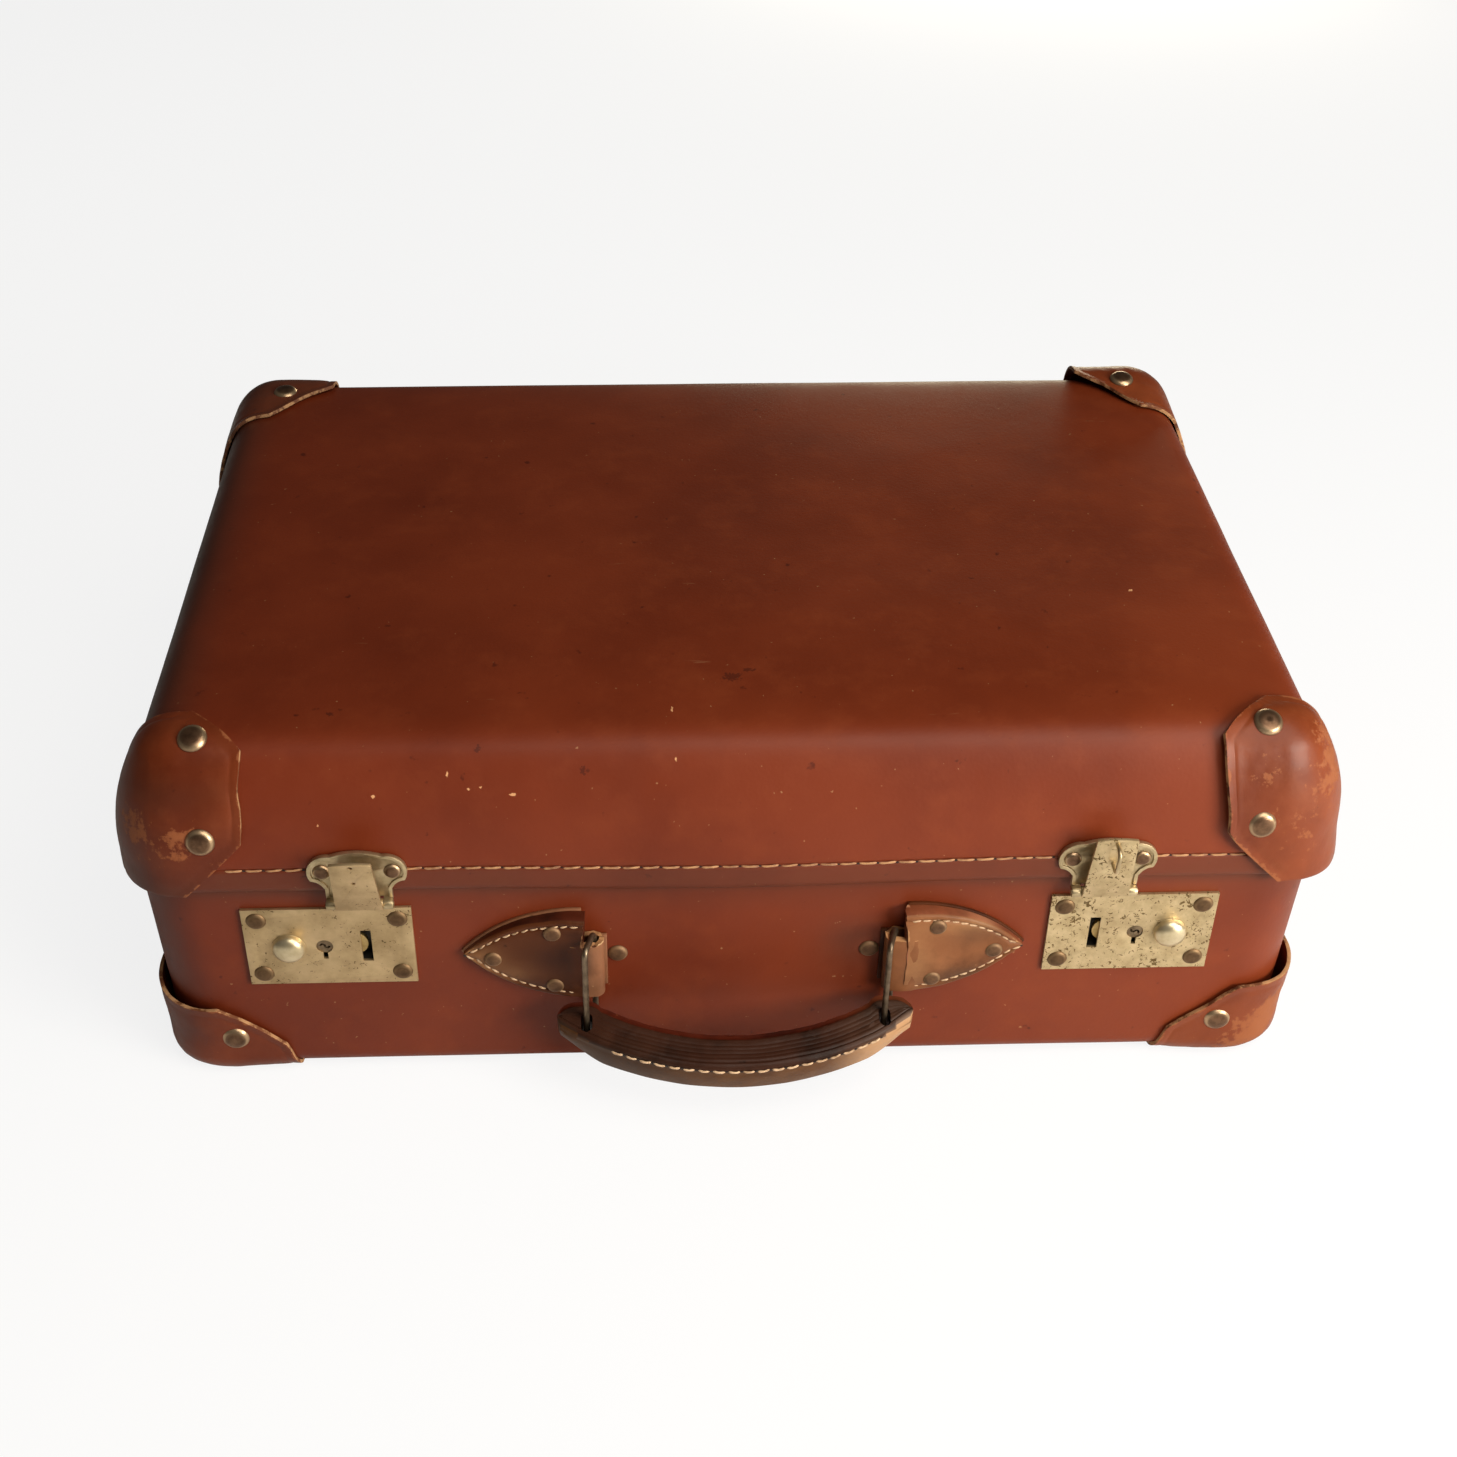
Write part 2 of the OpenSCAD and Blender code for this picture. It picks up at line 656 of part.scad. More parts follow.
module lock_plate_right() placed() color(nickel) lock_plate();
module lock_plate_left() placed() color(nickel) left() lock_plate();
module lock_case_right() placed() color(nickel) lock_case();
module lock_case_left() placed() color(nickel) left() lock_case();
module lock_rivets() placed() color(dark_leather)
    at_lock_rivets() rivet(lock_rivet_d, lock_rivet_h, plate_t + base_wall);
module button_right() placed() color(nickel) button();
module button_left() placed() color(nickel) left() button();
module bolt_right() placed() color("#c8a24a") bolt();
module bolt_left() placed() color("#c8a24a") left() bolt();
module key_disc_right() placed() color(nickel) key_disc(-40);
module key_disc_left() placed() color(nickel) left() key_disc(0);

// Handle mounts, drawn for the right-hand side with the fittings' middle at x = 0

module leaf_outline(grow) intersection() {
    r = leaf_arc + grow;
    translate([leaf_start + 3, leaf_w/2 - leaf_arc]) circle(r, $fn = 180);
    translate([leaf_start + 3, -leaf_w/2 + leaf_arc]) circle(r, $fn = 180);
    translate([leaf_start, -far/2]) square([far, far]);
}

module on_face(y) translate([ring_half, y, leaf_z]) rotate([90, 0, 0]) children();

module handle_backing() difference() {
    union() {
        on_face(-base_hd) linear_extrude(backing_t) leaf_outline(0.8);
        bar(ring_half - tab_len, ring_half + leaf_start + 2, -base_hd - backing_t, -base_hd,
            tab_z - tab_h/2, tab_z + tab_h/2);
    }
    translate([ring_half, ring_y, tab_z - far/2]) cylinder(r = fold_r, h = far);
    at_leaf_rivets() rivet_hole(leaf_grip);
}

module handle_mount() difference() {
    union() {
        difference() {
            on_face(leaf_y) linear_extrude(leaf_t) leaf_outline(0);
            translate([ring_half + leaf_start, leaf_y - leaf_t, 0]) rotate([0, 0, leaf_slope])
                translate([-far, -far, -far/2]) cube([2*far, far, far]);
        }
        bar(ring_half, ring_half + leaf_start + 1, ring_y - fold_r, leaf_y,
            fold_top_z - fold_len, fold_top_z);
        translate([ring_half, ring_y, fold_top_z - fold_len]) cylinder(r = fold_r, h = fold_len);
    }
    translate([ring_half, ring_y, 0]) cylinder(r = ring_d/2 + pin_gap, h = far);
    at_leaf_rivets() shank_hole();
}

module mount_rivets() {
    at_leaf_rivets() rivet(mount_rivet_d, 1.3, leaf_grip, false);
    at_tab_rivet() rivet(mount_rivet_d + 0.8, 1.5, base_wall);
}

module at_fittings() placed() translate([fitting_x, 0, 0]) children();

module handle_backing_right() at_fittings() color(dark_leather) handle_backing();
module handle_backing_left() at_fittings() color(dark_leather) left() handle_backing();
module handle_mount_right() at_fittings() color(leather) handle_mount();
module handle_mount_left() at_fittings() color(leather) left() handle_mount();
module handle_mount_rivets() placed() color(nickel) on_both_fittings() mount_rivets();

// A ring, standing out from its inner bar, which is the Z axis from z = 0 to ring_len
module ring() {
    r = ring_d/2;
    bend = ring_bend + r;
    translate([0, 0, bend]) cylinder(r = r, h = ring_len - 2*bend);
    translate([0, -ring_depth, bend]) cylinder(r = r, h = ring_len - 2*bend);
    for (z = [0, ring_len]) translate([0, -bend, z]) rotate([90, 0, 0])
        cylinder(r = r, h = ring_depth - 2*bend);
    for (y = [0, 1], z = [0, 1])
        translate([0, y == 0 ? -bend : bend - ring_depth, z == 0 ? bend : ring_len - bend])
            mirror([0, y == 0 ? 0 : 1, 0]) mirror([0, 0, z == 0 ? 1 : 0]) rotate([0, -90, 0])
                rotate_extrude(angle = 90) translate([bend, 0]) circle(r);
}

module placed_ring(s)
    translate([fitting_x + s*ring_half, ring_y, ring_low_z]) rotate([0, 0, -ring_swing]) ring();

module ring_right() placed() color(nickel) placed_ring(1);
module ring_left() placed() color(nickel) placed_ring(-1);

// Handle, laid flat with its turning line along X, then drooped about that line

function chord_r(half, sag) = (half*half + sag*sag)/(2*sag);
bow_half = 60;
lobe_s = (end_outer - end_inner)/2;
lobe_r = (end_outer + end_inner)/2 + 0.7;
lobe_len = end_over - lobe_r;

module band_outline(o, s_out, s_in) {
    out_r = chord_r(bow_half, grip_rise - end_outer);
    in_r = chord_r(bow_half, grip_inner + end_inner);
    intersection() {
        translate([0, grip_rise - out_r]) circle(out_r - s_out, $fn = 240);
        translate([-bow_half - o, -far/2]) square([2*(bow_half + o), far]);
        difference() {
            square(far, center = true);
            translate([0, grip_inner - in_r]) circle(in_r + s_in, $fn = 240);
        }
    }
}

module grip_outline() {
    band_outline(0, 0, 0);
    for (s = [-1, 1]) translate([s*(ring_half + lobe_len/2), lobe_s]) rounded_slot(lobe_len, lobe_r);
}

// Two circles of radius r, len apart along X, and the strip between them
module rounded_slot(len, r) {
    for (s = [-1, 1]) translate([s*len/2, 0]) circle(r);
    square([len, 2*r], center = true);
}

module core_outline() band_outline(-8, strap_t, strap_t);

// Outwards along -Y and the strap's width along Z
module drooped() translate([grip_x, grip_y, grip_z]) rotate([droop, 0, 0])
    translate([0, 0, -grip_h/2]) mirror([0, 1, 0]) linear_extrude(grip_h) children();

module handle_strap() placed() color("#6b4c35") drooped() difference() {
    grip_outline();
    core_outline();
    for (s = [-1, 1]) translate([s*ring_half, 0]) rotate(90) rounded_slot(eye_l - eye_w, eye_w/2);
}

module handle_core() placed() color("#3b2a24") drooped() core_outline();

// Rear hinges, five knuckles each: the lid's leaf has the middle and the end ones

module hinge_barrel(i) {
    x0 = -hinge_w/2 + i*knuckle + barrel_gap/2;
    difference() {
        union() {
            translate([x0, hinge_y, hinge_z]) rotate([0, 90, 0])
                cylinder(r = hinge_r, h = knuckle - barrel_gap);
            children();
        }
        translate([x0 - 1, hinge_y, hinge_z]) rotate([0, 90, 0])
            cylinder(r = hinge_pin_r + pin_gap, h = knuckle + 2);
    }
}

module hinge_lid_leaf() translate([hinge_x, 0, 0]) {
    for (i = [0, 2, 4]) hinge_barrel(i)
        bar(-hinge_w/2 + i*knuckle + barrel_gap/2, -hinge_w/2 + (i + 1)*knuckle - barrel_gap/2,
            case_d/2, case_d/2 + hinge_t, hinge_z, hinge_z + hinge_r + 0.6);
    difference() {
        bar(-hinge_w/2, hinge_w/2, case_d/2, case_d/2 + hinge_t,
            hinge_z + hinge_r + 0.3, hinge_z + hinge_leaf);
        translate([-hinge_x, 0, 0]) at_lid_leaf_rivets() shank_hole();
    }
}

module hinge_base_leaf() translate([hinge_x, 0, 0]) {
    web_z = hinge_z - hinge_r;
    for (i = [1, 3]) hinge_barrel(i)
        bar(-hinge_w/2 + i*knuckle + barrel_gap/2, -hinge_w/2 + (i + 1)*knuckle - barrel_gap/2,
            base_hd, hinge_y, web_z, web_z + hinge_t);
    difference() {
        bar(-hinge_w/2, hinge_w/2, base_hd, base_hd + hinge_t,
            hinge_z - hinge_leaf - 1, web_z + hinge_t/2);
        translate([-hinge_x, 0, 0]) at_base_leaf_rivets() shank_hole();
    }
}

module hinge_base_leaf_right() placed() color(nickel) hinge_base_leaf();
module hinge_base_leaf_left() placed() color(nickel) left() hinge_base_leaf();
module hinge_base_rivets() placed() color(nickel)
    at_base_leaf_rivets() rivet(6.4, 1.2, hinge_t + base_wall);
module hinge_pins() placed() color(nickel) both_sides()
    translate([hinge_x - hinge_w/2 - 0.4, hinge_y, hinge_z]) rotate([0, 90, 0])
        cylinder(r = hinge_pin_r, h = hinge_w + 0.8);

// Lid

module lid_holes() {
    at_lid_top_rivets() rivet_hole(cap_t + lid_wall);
    at_lid_wall_rivets() rivet_hole(cap_t + lid_wall);
    at_hasp_rivets() translate([0, 0, -wing_t - lid_wall - 1])
        cylinder(d = shank_d, h = wing_t + lid_wall + 2);
    at_lid_leaf_rivets() rivet_hole(hinge_t + lid_wall + frame_t);
}

module crown() {
    inset = edge_reach + 2;
    r = 8;
    hull() {
        translate([0, 0, top_z - 1]) linear_extrude(0.6)
            top_patch(case_w - 2*edge_reach, case_d - 2*edge_reach, 3);
        translate([0, 0, top_z]) linear_extrude(crown_h)
            top_patch(case_w - 7*inset, case_d - 6*inset, r);
    }
}

module top_patch(w, d, r) {
    square([w - 2*r, d], center = true);
    square([w, d - 2*r], center = true);
    for (a = [-1, 1], b = [-1, 1]) translate([a*(w/2 - r), b*(d/2 - r)]) circle(r, $fn = 32);
}

module lid_shell() placed() color(leather) difference() {
    union() {
        difference() {
            lid_form(0);
            bar(-far, far, -far, far, -1, rim_z);
        }
        crown();
    }
    lid_form(-lid_wall);
    between(rim_z - 1, rim_z + band_h) difference() {
        lid_form(1);
        lid_form(-band_t);
    }
    lid_holes();
}

module lid_rim_band() placed() color(leather) difference() {
    between(rim_z, rim_z + band_h) difference() {
        lid_form(0);
        lid_form(-band_t);
    }
    lid_holes();
}

lid_frame_z = lip_z + frame_rest_gap;

module lid_frame() placed() color(board) difference() {
    between(lid_frame_z, lid_frame_z + lid_frame_h) difference() {
        lid_form(-lid_wall);
        lid_form(-lid_wall - frame_t);
    }
    lid_holes();
}

module lid_lining() placed() color(paper) difference() {
    between(lid_frame_z + lid_frame_h, far) difference() {
        lid_form(-lid_wall);
        lid_form(-lid_wall - lining_t);
    }
    lid_holes();
}

// A lid cap for the back right corner, reaching rx along X and ry along Y
module lid_cap(rx, ry, cut_x, cut_y) {
    cx = case_w/2;
    cy = case_d/2;
    knee = rim_z + lid_cap_narrow_h;
    top = top_z + 10;
    difference() {
        intersection() {
            lid_form(cap_t);
            cap_column(
                [[cx - lid_cap_foot, rim_z], [cx + 20, rim_z], [cx + 20, top], [cx - rx, top],
                 [cx - rx + 0.5, knee + 14], [cx - rx + 2.5, knee]],
                [[cy - lid_cap_foot + 8, rim_z], [cy + 20, rim_z], [cy + 20, top], [cy - ry, top],
                 [cy - ry, knee + 14], [cy - ry + 3, knee]]);
        }
        lid_form(0);
        translate([0, 0, top_z - 20]) linear_extrude(40)
            polygon([[0, 0], [cx - rx + cut_x, 0], [cx - rx + cut_x, cy - ry],
                [cx - rx, cy - ry + cut_y], [0, cy - ry + cut_y]]);
        bar(-far, far, -far, far, -1, rim_z);
    }
}

module front_cap() difference() {
    mirror([0, 1, 0]) lid_cap(lid_cap_x, lid_cap_y, 21.5, 19);
    lid_holes();
}

module back_cap() difference() {
    lid_cap(back_cap_x, back_cap_y, 29, 29);
    crown();
    lid_holes();
}

module lid_cap_front_right() placed() color(leather) front_cap();
module lid_cap_front_left() placed() color(leather) left() front_cap();
module lid_cap_back_right() placed() color(leather) back_cap();
module lid_cap_back_left() placed() color(leather) left() back_cap();
module lid_cap_rivets() placed() color(nickel) {
    at_lid_top_rivets() rivet(cap_rivet_d, cap_rivet_h, cap_t + lid_wall);
    at_lid_wall_rivets() rivet(cap_rivet_d, cap_rivet_h, cap_t + lid_wall);
}

module hinge_lid_leaf_right() placed() color(nickel) hinge_lid_leaf();
module hinge_lid_leaf_left() placed() color(nickel) left() hinge_lid_leaf();
module hinge_lid_rivets() placed() color(nickel)
    at_lid_leaf_rivets() rivet(6.4, 1.2, hinge_t + lid_wall + frame_t);

// Hasps. The winged plate is drawn in u across and v up from the hinge line

module wing_outline(o) difference() {
    union() {
        for (s = [-1, 1]) translate([s*11.8, wing_rivet_v]) circle(8.4 - o);
        intersection() {
            translate([0, wing_top - 30]) circle(30 - o);
            translate([-16.5, 8]) square([33, 20]);
        }
        translate([-barrel_len/2 + o, 0]) square([barrel_len - 2*o, wing_rivet_v]);
    }
    for (s = [-1, 1]) translate([s*(barrel_len/2 + 6), 5.5]) circle(6 + o);
}

module on_lid_front(x) translate([x, -case_d/2, hasp_z]) rotate([90, 0, 0]) children();

module hasp_barrel(x0, len) difference() {
    union() {
        translate([x0, hasp_y, hasp_z]) rotate([0, 90, 0]) cylinder(r = barrel_r, h = len);
        children();
    }
    translate([x0 - 1, hasp_y, hasp_z]) rotate([0, 90, 0]) cylinder(r = hasp_pin_r + pin_gap, h = len + 2);
}

module hasp_plate(x) {
    flap_room = barrel_r + 0.4;
    difference() {
        on_lid_front(x) union() {
            linear_extrude(wing_t) wing_outline(0);
            linear_extrude(wing_t + wing_edge_h) difference() {
                wing_outline(0);
                wing_outline(wing_edge_w);
            }
        }
        bar(x - far, x + far, -far, far, hasp_z - 10, hasp_z + flap_room);
        bar(x - flap_w/2 - 1, x + flap_w/2 + 1, -far, -case_d/2 - wing_t, 0, hasp_z + 12);
        at_hasp_rivets() shank_hole();
    }
    for (s = [-1, 1]) {
        x0 = s < 0 ? x - barrel_len/2 : x + flap_w/2 + barrel_gap;
        x1 = x0 + side_barrel - barrel_gap;
        hasp_barrel(x0, x1 - x0) {
            bar(x0, x1, -case_d/2 - wing_t, -case_d/2, hasp_z + 1, hasp_z + flap_room + 1);
            bar(x0, x1, hasp_y, -case_d/2, hasp_z + 1, hasp_z + barrel_r);
        }
    }
}

// The flap as it hangs closed over its lock plate
module hasp_flap(x) hasp_barrel(x - flap_w/2, flap_w) difference() {
    translate([x, flap_y + flap_t, hasp_z]) rotate([90, 0, 0]) linear_extrude(flap_t) intersection() {
        polygon([[-flap_w/2, 0], [flap_w/2, 0], [flap_end_w/2, -flap_len], [-flap_end_w/2, -flap_len]]);
        translate([0, -flap_len + 40]) circle(40);
    }
    for (v = [-1, 1]) translate([x, 0, hasp_z - staple_v + v*staple_w/2]) rotate([90, 0, 0])
        cylinder(d = staple_d, h = far);
}

module staple(x) {
    r = staple_d/2;
    bend = 3;
    y0 = flap_y;
    y1 = flap_y + flap_t + staple_reach - r;
    z0 = hasp_z - staple_v;
    for (v = [-1, 1]) {
        translate([x, y1 - bend, z0 + v*staple_w/2]) rotate([90, 0, 0]) cylinder(r = r, h = y1 - bend - y0);
        translate([x, y1 - bend, z0 + v*(staple_w/2 - bend)]) mirror([0, 0, v > 0 ? 0 : 1])
            rotate([0, -90, 0]) rotate_extrude(angle = 90) translate([bend, 0]) circle(r);
    }
    translate([x, y1, z0 - staple_w/2 + bend]) cylinder(r = r, h = staple_w - 2*bend);
}

module opened(lean) translate([0, hasp_y, hasp_z]) rotate([lean - 180, 0, 0])
    translate([0, -hasp_y, -hasp_z]) children();

module hasp_plate_right() placed() color(nickel) hasp_plate(slot_x);
module hasp_plate_left() placed() color(nickel) hasp_plate(-slot_x);
module hasp_pins() placed() color(nickel) both_sides()
    translate([slot_x - barrel_len/2 - 0.3, hasp_y, hasp_z]) rotate([0, 90, 0])
        cylinder(r = hasp_pin_r, h = barrel_len + 0.6);
module hasp_rivets() placed() color(nickel)
    at_hasp_rivets() rivet(hasp_rivet_d, 1.3, wing_t + lid_wall, false);
module hasp_flap_right() placed() color(nickel) opened(right_lean) hasp_flap(slot_x);
module hasp_flap_left() placed() color(nickel) opened(left_lean) hasp_flap(-slot_x);
module hasp_staple() placed() color(nickel) opened(right_lean) staple(slot_x);

base_shell();
base_frame();
base_lining();
base_cap_front_left();
base_cap_front_right();
base_cap_back_left();
base_cap_back_right();
base_cap_rivets();
lock_plate_left();
lock_plate_right();
lock_case_left();
lock_case_right();
lock_rivets();
handle_backing_left();
handle_backing_right();
handle_mount_left();
handle_mount_right();
handle_mount_rivets();
hinge_base_leaf_left();
hinge_base_leaf_right();
hinge_base_rivets();
hinge_pins();
lid_shell();
lid_rim_band();
lid_frame();
lid_lining();
lid_cap_front_left();
lid_cap_front_right();
lid_cap_back_left();
lid_cap_back_right();
lid_cap_rivets();
hasp_plate_left();
hasp_plate_right();
hasp_pins();
hasp_rivets();
hinge_lid_leaf_left();
hinge_lid_leaf_right();
hinge_lid_rivets();
hasp_flap_left();
hasp_flap_right();
hasp_staple();
button_left();
button_right();
bolt_left();
bolt_right();
key_disc_left();
key_disc_right();
ring_left();
ring_right();
handle_strap();
handle_core();
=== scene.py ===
import bpy, bmesh, json, math
from mathutils import Matrix, Vector, noise


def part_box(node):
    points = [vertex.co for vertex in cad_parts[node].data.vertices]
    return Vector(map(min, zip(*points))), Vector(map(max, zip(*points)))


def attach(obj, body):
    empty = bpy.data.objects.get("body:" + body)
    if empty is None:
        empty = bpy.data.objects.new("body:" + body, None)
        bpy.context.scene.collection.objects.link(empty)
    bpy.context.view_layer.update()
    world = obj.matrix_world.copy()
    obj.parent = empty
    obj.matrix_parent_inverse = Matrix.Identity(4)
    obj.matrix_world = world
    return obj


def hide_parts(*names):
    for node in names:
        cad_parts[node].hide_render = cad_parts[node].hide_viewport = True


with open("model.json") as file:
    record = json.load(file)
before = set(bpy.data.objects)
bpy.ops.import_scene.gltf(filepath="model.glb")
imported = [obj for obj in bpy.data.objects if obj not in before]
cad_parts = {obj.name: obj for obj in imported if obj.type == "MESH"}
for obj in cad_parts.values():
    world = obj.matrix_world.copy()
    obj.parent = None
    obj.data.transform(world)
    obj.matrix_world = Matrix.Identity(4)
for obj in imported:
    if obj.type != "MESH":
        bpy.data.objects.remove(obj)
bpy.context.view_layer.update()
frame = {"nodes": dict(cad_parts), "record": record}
scene = bpy.context.scene
sin, cos, radians, pi = math.sin, math.cos, math.radians, math.pi

# everything below is drawn in mm, round the middle of the case, z up from the floor
bandLow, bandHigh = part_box("lid_rim_band")
shiftY = (bandLow.y + bandHigh.y) * 500
case = {"halfX": 250.0, "halfY": 171.0, "cornerR": 31.0, "rim": 106.2, "flat": 170.7, "crown": 3.0, "wall": 2.0,
        "reach": 28.0, "rise": 56.98, "lowR": 100.0, "topTilt": 7.0, "bow": 2.6, "bowHalf": 132.0}
base = {"halfX": 247.65, "halfY": 168.65, "cornerR": 28.65, "lip": 120.2, "low": 2.2, "lean": 5.0,
        "wall": 3.0, "bottomR": 9.0}
fit = {"slotX": 152.3, "plateZ": 75.0, "hingeZ": 101.8, "fittingX": 5.0, "ringHalf": 62.8, "leafZ": 71.0}
bodyOf = {n: b for b, ns in frame["record"]["behaviour"]["bodies"].items() for n in ns}
sides = (-1, 1)


def place(p):
    return (p[0] / 1000, (p[1] + shiftY) / 1000, p[2] / 1000)


def lerp(a, b, t):
    return a + (b - a) * t


def bell(x, width):
    return math.exp(-(x / width) ** 2)


def blob(p, centre, size):
    return math.exp(-sum(((a - b) / c) ** 2 for a, b, c in zip(p, centre, size)))


def ease(x):
    x = min(1.0, max(0.0, x))
    return x * x * (3 - 2 * x)


def wobble(p, size, amount, seed=0.0):
    return amount * noise.noise(Vector((p[0] / size + seed, p[1] / size - seed, p[2] / size + 2 * seed)))


def turns(count):
    return [2 * pi * k / count for k in range(count)]


def camel(node):
    first, *rest = node.split("_")
    return first + "".join(word.title() for word in rest)


# materials: in one tree, a socket given as a value is linked, and anything else is set
def nodesOf(tree):
    def put(n, key, value):
        if hasattr(value, "is_output"):
            tree.links.new(value, n.inputs[key])
        elif value is not None:
            n.inputs[key].default_value = value

    def add(kind, *inputs, **values):
        n = tree.nodes.new(kind)
        count = len(tree.nodes)
        n.location = (count % 9 * 220, count // 9 * -340)
        for key, value in values.items():
            if key in n.inputs.keys():
                put(n, key, value)
            else:
                setattr(n, key, value)
        for index, value in enumerate(inputs):
            put(n, index, value)
        return n

    def maths(operation, *values):
        return add("ShaderNodeMath", *values, operation=operation).outputs[0]

    def mix(fac, a, b, blend="MIX"):
        m = add("ShaderNodeMix", fac, data_type="RGBA", blend_type=blend)
        put(m, 6, a)
        put(m, 7, b)
        return m.outputs[2]

    def ramp(fac, *stops):
        r = add("ShaderNodeValToRGB", fac)
        while len(r.color_ramp.elements) < len(stops):
            r.color_ramp.elements.new(0.5)
        for e, (pos, value) in zip(r.color_ramp.elements, stops):
            e.position, e.color = pos, (value, value, value, 1)
        return r.outputs[0]

    def noiseOf(at, scale, detail, roughness=0.5, distortion=0.0):
        return add("ShaderNodeTexNoise", Vector=at, Scale=scale, Detail=detail, Roughness=roughness,
                   Distortion=distortion).outputs["Fac"]

    def painted(layer):
        return add("ShaderNodeAttribute", attribute_name=layer).outputs["Fac"]

    return add, maths, mix, ramp, noiseOf, painted


def rgb(hexText):
    parts = [int(hexText[i:i + 2], 16) / 255 for i in (1, 3, 5)]
    return tuple(c / 12.92 if c <= 0.04045 else ((c + 0.055) / 1.055) ** 2.4 for c in parts) + (1.0,)


def groupWith(name, inputs):
    tree = bpy.data.node_groups.new(name, "ShaderNodeTree")
    for label, value in inputs.items():
        kind = "NodeSocketColor" if isinstance(value, tuple) else "NodeSocketFloat"
        tree.interface.new_socket(name=label, in_out="INPUT", socket_type=kind).default_value = value
    for label, kind in (("Color", "Color"), ("Roughness", "Float"), ("Height", "Float")):
        tree.interface.new_socket(name=label, in_out="OUTPUT", socket_type="NodeSocket" + kind)
    tools = nodesOf(tree)
    where = tools[0]("ShaderNodeTexCoord").outputs["Object"]
    return tree, tools[0]("NodeGroupInput").outputs, where, tools


# leather: slow mottling, a fine grain, pale specks and scratches, and where painted: scuffs, dirt with painted
# shade, and fading with painted highlight
def makeHideGroup():
    tree, gi, where, (add, maths, mix, ramp, noiseOf, painted) = groupWith("hidePatina", {
        "Base": (0.2, 0.05, 0.02, 1), "Dark": (0.1, 0.03, 0.01, 1), "Light": (0.4, 0.15, 0.07, 1),
        "Scuffed": (0.5, 0.25, 0.1, 1), "Mottle": 12.0, "Specks": 0.5, "Grain": 450.0, "Gloss": 0.42,
        "Drift": 0.0, "Ragged": 1.0, "Soil": (0.034, 0.026, 0.018, 1)})
    cloud = noiseOf(where, 55.0, 7.0, 0.65)
    darkMask = ramp(noiseOf(where, gi["Mottle"], 5.0, 0.55), (0.34, 1.0), (0.58, 0.0))
    tone = mix(darkMask, gi["Base"], gi["Dark"])
    lightMask = ramp(cloud, (0.5, 0.0), (0.78, 0.75))
    tone = mix(maths("MULTIPLY", lightMask, 0.45), tone, gi["Light"])
    dots = ramp(noiseOf(where, 520.0, 2.0, 0.4), (0.765, 0.0), (0.79, 1.0))
    stretch = add("ShaderNodeMapping", Vector=where, Rotation=(0.2, 0.3, 0.7), Scale=(30, 210, 160))
    scratches = ramp(noiseOf(stretch.outputs[0], 1.0, 3.0, 0.55), (0.745, 0.0), (0.78, 1.0))
    marks = maths("MULTIPLY", maths("MAXIMUM", dots, maths("MULTIPLY", scratches, 0.35)), gi["Specks"])
    tone = mix(marks, tone, gi["Scuffed"])
    stains = ramp(noiseOf(where, 150.0, 3.0), (0.70, 0.0), (0.76, 0.55))
    tone = mix(stains, tone, gi["Dark"], "MULTIPLY")
    # painted light and shade: the colour turns darker on the left, and lighter and paler on the right, where the
    # key light falls and sheens
    across = add("ShaderNodeSeparateXYZ", where).outputs[0]
    keySide = ramp(maths("MULTIPLY_ADD", across, 2.0, 0.5), (0.0, 0.0), (1.0, 1.0))
    sideLightTint = mix(keySide, (0.85, 0.87, 0.90, 1), (1.09, 1.26, 1.28, 1))
    tone = mix(gi["Drift"], tone, mix(1.0, tone, sideLightTint, "MULTIPLY"))
    # ragged scuffs
    worn = painted("worn")
    spread = maths("MULTIPLY", maths("SUBTRACT", noiseOf(where, 160.0, 8.0, 0.7), 0.5), gi["Ragged"])
    wornMask = ramp(maths("ADD", worn, maths("SUBTRACT", spread, 0.12)), (0.40, 0.0), (0.47, 0.75), (0.62, 1.0))
    wornFac = maths("MULTIPLY", wornMask, maths("MINIMUM", maths("MULTIPLY", worn, 3.0), 1.0))
    tone = mix(wornFac, tone, gi["Scuffed"])
    uneven = maths("MULTIPLY_ADD", cloud, 0.9, 0.55)
    # two painted layers: one pales the leather, for fading and painted highlight, and one darkens it, for dirt and
    # painted shade
    for layer, colour in (("bleached", "Scuffed"), ("soiled", "Soil")):
        tone = mix(maths("MINIMUM", maths("MULTIPLY", painted(layer), uneven), 1.0), tone, gi[colour])
    rough = maths("ADD", maths("MULTIPLY_ADD", cloud, 0.22, -0.11), gi["Gloss"])
    rough = maths("ADD", rough, maths("MULTIPLY", wornFac, 0.25))
    pore = add("ShaderNodeTexVoronoi", feature="F1", Vector=where, Scale=gi["Grain"]).outputs["Distance"]
    high = maths("ADD", maths("MULTIPLY", pore, 0.35), maths("MULTIPLY", cloud, 1.2))
    add("NodeGroupOutput", tone, rough, maths("SUBTRACT", high, maths("MULTIPLY", marks, 0.6)))
    return tree


